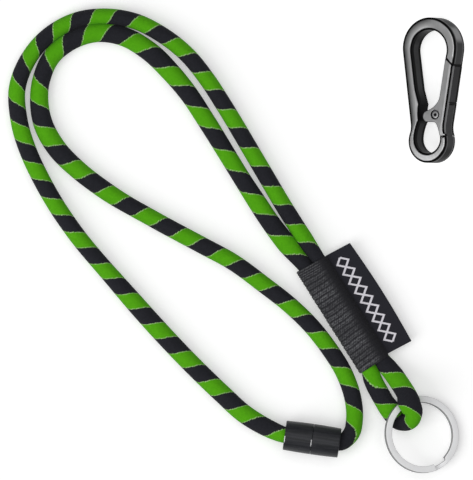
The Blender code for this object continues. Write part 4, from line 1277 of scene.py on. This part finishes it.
def spine_edge():
    """Inner edge of the spine: it swells to a step, is hollowed beside the lobe and flares into the bore."""
    step_y = EYE_Y + SPINE_STEP_RISE
    cusp_y = EYE_Y + SPINE_CUSP_RISE
    swell_y = step_y + SPINE_SWELL
    step = (-SPINE_STEP_X, step_y)
    cusp = (-SPINE_STEP_X, cusp_y)
    hollow = (-SPINE_STEP_X - 2 * SPINE_RECESS, (step_y + cusp_y) / 2)
    bore_start = math.radians(BORE_START_DEG)
    end = (BORE[0] + EYE_BORE * math.cos(bore_start), BORE[1] + EYE_BORE * math.sin(bore_start))
    upward = Vector((math.sin(bore_start), -math.cos(bore_start)))
    flare = Vector((-math.cos(SPINE_FLARE), -math.sin(SPINE_FLARE)))
    points = [(-inner_x(swell_y), swell_y)]
    points += bend(step, hollow, cusp, 8)
    points += bend(cusp, crossing(cusp, flare, end, upward), end, 12)[1:-1]
    return points


def hook_outline():
    taper = math.degrees(SIDE_TAPER)
    crown = (0.0, HOOK_LENGTH / 2 - HOOK_CROWN - HOOK_RADIUS + HOOK_BAND)
    centre, side_angle, eye_angle = waist()
    points = [(inner_x(NOSE_INNER_Y), NOSE_INNER_Y)]
    points += arc(crown, HOOK_RADIUS - HOOK_BAND, -taper, 180 + taper, 48)
    points += spine_edge()
    points += arc(BORE, EYE_BORE, BORE_START_DEG, 360 + angle_at(EYE_END_Y, BORE, EYE_BORE), 40)
    points += arc(EYE, EYE_RADIUS, angle_at(EYE_END_Y, EYE, EYE_RADIUS), -eye_angle, 48)
    points += [(-x, y) for x, y in arc(centre, WAIST_RADIUS, eye_angle, side_angle, 14)[1:]]
    points += arc((0.0, HOOK_TOP_Y), HOOK_RADIUS, 180 + taper, -taper, 60)
    points.append((side_x(NOSE_OUTER_Y), NOSE_OUTER_Y))
    return points


def lobe_points():
    return arc((LOBE_X, LOBE_Y), LOBE_RADIUS, LOBE_START_DEG, LOBE_END_DEG, 24)


def throat(lobe_end, tail_y):
    """Lower edge of the gate, from below its pivot round to its tail on the eye's bore."""
    start = (GATE_THROAT_X, EYE_Y + GATE_THROAT_RISE)
    tail = math.radians(angle_at(tail_y, BORE, EYE_BORE))
    end = (BORE[0] + EYE_BORE * math.cos(tail), tail_y)
    upward = Vector((-math.sin(tail), math.cos(tail)))
    corner = crossing(start, Vector(start) - Vector(lobe_end), end, upward)
    return bend(start, corner, end, 14)


def tongue_outline():
    top_y = WEB_END_Y - SEAT_GAP
    edge = throat(lobe_points()[-1], EYE_END_Y)[1:]
    points = [(EYE_BORE + SEAT_GAP, EYE_Y)]
    points += [(x + SEAT_GAP, y + SEAT_GAP) for x, y in edge[::-1]]
    points += arc(PIVOT, KNUCKLE_RADIUS, KNUCKLE_START_DEG, KNUCKLE_END_DEG, 28)
    points.append((PIVOT_X + POCKET_RADIUS, top_y))
    points += outer_side(EYE_END_Y, top_y)[::-1]
    points.append((EYE_RADIUS - SEAT_GAP, EYE_Y))
    return points


def gate_outline():
    seam = Vector((side_x(NOSE_OUTER_Y) - inner_x(NOSE_INNER_Y), NOSE_OUTER_Y - NOSE_INNER_Y))
    drop = SEAT_GAP * seam.length / seam.x
    tail_y = EYE_END_Y + SEAT_GAP
    lobe = lobe_points()
    knee = (inner_x(GATE_KNEE_Y), GATE_KNEE_Y)
    down = Vector((-math.sin(SIDE_TAPER), -math.cos(SIDE_TAPER)))
    lobe_start = math.radians(LOBE_START_DEG)
    along_lobe = Vector((math.sin(lobe_start), -math.cos(lobe_start)))
    points = [(inner_x(NOSE_INNER_Y), NOSE_INNER_Y - drop)]
    points += bend(knee, crossing(knee, down, lobe[0], along_lobe), lobe[0], 18)
    points += lobe[1:]
    points += throat(lobe[-1], tail_y)
    points += outer_side(tail_y, NOSE_OUTER_Y - drop)
    return points


def hook_piece(name, mesh, material, place):
    sharpen(mesh, 40)
    piece = new_piece(name, mesh, material, place)
    modifier = piece.modifiers.new("even_shading", "WEIGHTED_NORMAL")
    modifier.keep_sharp = True
    modifier.weight = 100
    return piece


def build_hook():
    body_look = hook_metal("hook_metal", (0.062, 0.062, 0.064), False)
    gate_look = hook_metal("gate_metal", (0.050, 0.050, 0.052), True)
    spring_look = plain_metal("spring_steel", (0.40, 0.40, 0.41), (0.52, 0.52, 0.53), 0.25, 0.4)
    place = Matrix.Translation((HOOK_X, HOOK_Y, HOOK_Z)) @ Matrix.Rotation(-HOOK_TURN, 4, "Z")
    place = place @ Matrix.Rotation(-HOOK_LEAN, 4, "Y")
    hole = RIVET_RADIUS + FIT_GAP
    pocket_low = TONGUE_HALF - POCKET_DEPTH
    channel_low = (PIVOT_X - POCKET_RADIUS, PIVOT_Y, pocket_low)
    channel_high = (PIVOT_X + POCKET_RADIUS, WEB_END_Y, SLOT_HALF)
    rounding = {"edge": 0.0012, "rise": 0.0004, "rounds": 8, "grow": HOOK_GROW}
    mesh = combined(
        outline_mesh("hook_frame", hook_outline(), HOOK_HALF, **rounding),
        ("UNION", outline_mesh("tongue", tongue_outline(), TONGUE_HALF)),
        ("DIFFERENCE", disc_mesh(PIVOT, hole, -HOOK_HALF, HOOK_HALF)),
        ("DIFFERENCE", disc_mesh(PIVOT, POCKET_RADIUS, pocket_low, SLOT_HALF)),
        ("DIFFERENCE", box_mesh(channel_low, channel_high)),
    )
    body = hook_piece("hook_frame", mesh, body_look, place)
    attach(body, "lanyard")
    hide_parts("carabiner_body")
    # Gate: forked over the tongue, with a rebate along its outer edge and a seam across its wall
    seat = RIVET_HEAD_RADIUS + RIVET_GROOVE
    seat_floor = RIVET_HALF - RIVET_HEAD - 2 * FIT_GAP
    rebate_wide = 0.0008
    rebate_deep = 0.0016
    rim = outer_side(EYE_END_Y + SEAT_GAP + HOOK_EDGE, NOSE_OUTER_Y + HOOK_EDGE)
    strip = [(x + HOOK_BAND, y) for x, y in rim] + [(x - rebate_wide, y) for x, y in rim[::-1]]
    rebate = outline_mesh("rebate", strip, rebate_deep)
    rebate.transform(Matrix.Translation((0.0, 0.0, HOOK_HALF)))
    seam_deep = 0.0003
    seam_high = 0.00025
    past_wall = 0.002
    seam_x = side_x(WALL_SEAM_Y)
    seam_low = (seam_x - seam_deep, WALL_SEAM_Y, -HOOK_HALF)
    wall_seam = box_mesh(seam_low, (seam_x + past_wall, WALL_SEAM_Y + seam_high, HOOK_HALF))
    rounding = {"edge": 0.0004, "rise": 0.0002, "rounds": 3, "grow": HOOK_GROW}
    mesh = combined(
        outline_mesh("hook_gate", gate_outline(), HOOK_HALF, **rounding),
        ("DIFFERENCE", box_mesh((-HOOK_RADIUS, EYE_Y, -SLOT_HALF), (HOOK_RADIUS, WEB_END_Y, SLOT_HALF))),
        ("DIFFERENCE", disc_mesh(PIVOT, hole, -HOOK_HALF, HOOK_HALF)),
        ("DIFFERENCE", disc_mesh(PIVOT, seat, seat_floor, HOOK_HALF + SEAT_GAP)),
        ("DIFFERENCE", disc_mesh(PIVOT, seat, -HOOK_HALF - SEAT_GAP, -seat_floor)),
        ("DIFFERENCE", rebate),
        ("DIFFERENCE", wall_seam),
    )
    gate = hook_piece("hook_gate", mesh, gate_look, place)
    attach(gate, "gate")
    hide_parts("carabiner_gate")
    rivet_place = place @ Matrix.Translation((*PIVOT, 0.0))
    rivet = turned_piece("hook_rivet", rivet_profile(), False, rivet_metal(), rivet_place, 64)
    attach(rivet, "lanyard")
    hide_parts("gate_rivet")
    dress(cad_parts["gate_spring"].data, spring_look)


def rivet_profile():
    """Both heads rounded at the rim, and the front one with a punched dimple."""
    head = [(0.0, RIVET_HALF - RIVET_DIMPLE), (RIVET_DIMPLE_RADIUS, RIVET_HALF - RIVET_DIMPLE)]
    lip = (RIVET_DIMPLE_RADIUS, RIVET_HALF)
    rim = (RIVET_HEAD_RADIUS, RIVET_HALF)
    under = (RIVET_HEAD_RADIUS, RIVET_HALF - RIVET_HEAD)
    lip_edge = 0.0002
    rim_edge = 0.0004
    head += rounded(lip, head[1], rim, lip_edge)
    head += rounded(rim, lip, under, rim_edge)
    head += [under, (RIVET_RADIUS, RIVET_HALF - RIVET_HEAD), (RIVET_RADIUS, RIVET_HEAD - RIVET_HALF)]
    head.append((RIVET_HEAD_RADIUS, RIVET_HEAD - RIVET_HALF))
    back = (RIVET_HEAD_RADIUS, -RIVET_HALF)
    head += rounded(back, head[-1], (0.0, -RIVET_HALF), rim_edge)
    head.append((0.0, -RIVET_HALF))
    return head


def area_light(name, place, size, level):
    """A square soft light that points at the middle of the table; level is its radiance, 1 for white."""
    data = bpy.data.lights.new(name, "AREA")
    data.shape = "SQUARE"
    data.size = size
    data.energy = level * size * size * math.pi
    lamp = linked(name, data)
    lamp.location = place
    lamp.rotation_euler = (-Vector(place)).to_track_quat("-Z", "Y").to_euler()


def build_studio():
    mesh = bpy.data.meshes.new("floor")
    far = 6.0
    sky_level = 0.22
    mesh.from_pydata([(-far, -far, 0), (far, -far, 0), (far, far, 0), (-far, far, 0)], [], [(0, 1, 2, 3)])
    floor = new_piece("floor", mesh, floor_paper())
    world = bpy.data.worlds.new("studio")
    bpy.context.scene.world = world
    world.use_nodes = True
    backdrop = world.node_tree.nodes["Background"]
    backdrop.inputs["Color"].default_value = (1.0, 1.0, 1.0, 1.0)
    backdrop.inputs["Strength"].default_value = sky_level
    area_light("overhead", (0.0, 0.3, 6.0), size=7.8, level=1.2)
    area_light("key", (-1.0, -0.6, 1.0), size=1.0, level=3.4)
    data = bpy.data.cameras.new("camera")
    data.sensor_fit = "HORIZONTAL"
    data.sensor_width = SENSOR
    data.lens = SENSOR * (CAMERA_HEIGHT - CORD_LEVEL) / VIEW_WIDTH
    data.clip_start = 0.01
    data.clip_end = 20.0
    camera = linked("camera", data)
    camera.location = (0.0, 0.0, CAMERA_HEIGHT)
    bpy.context.scene.camera = camera
    bpy.context.scene.view_settings.view_transform = "Standard"


build_cords()
build_sleeve()
build_label()
build_connector()
build_ring()
build_hook()
build_studio()
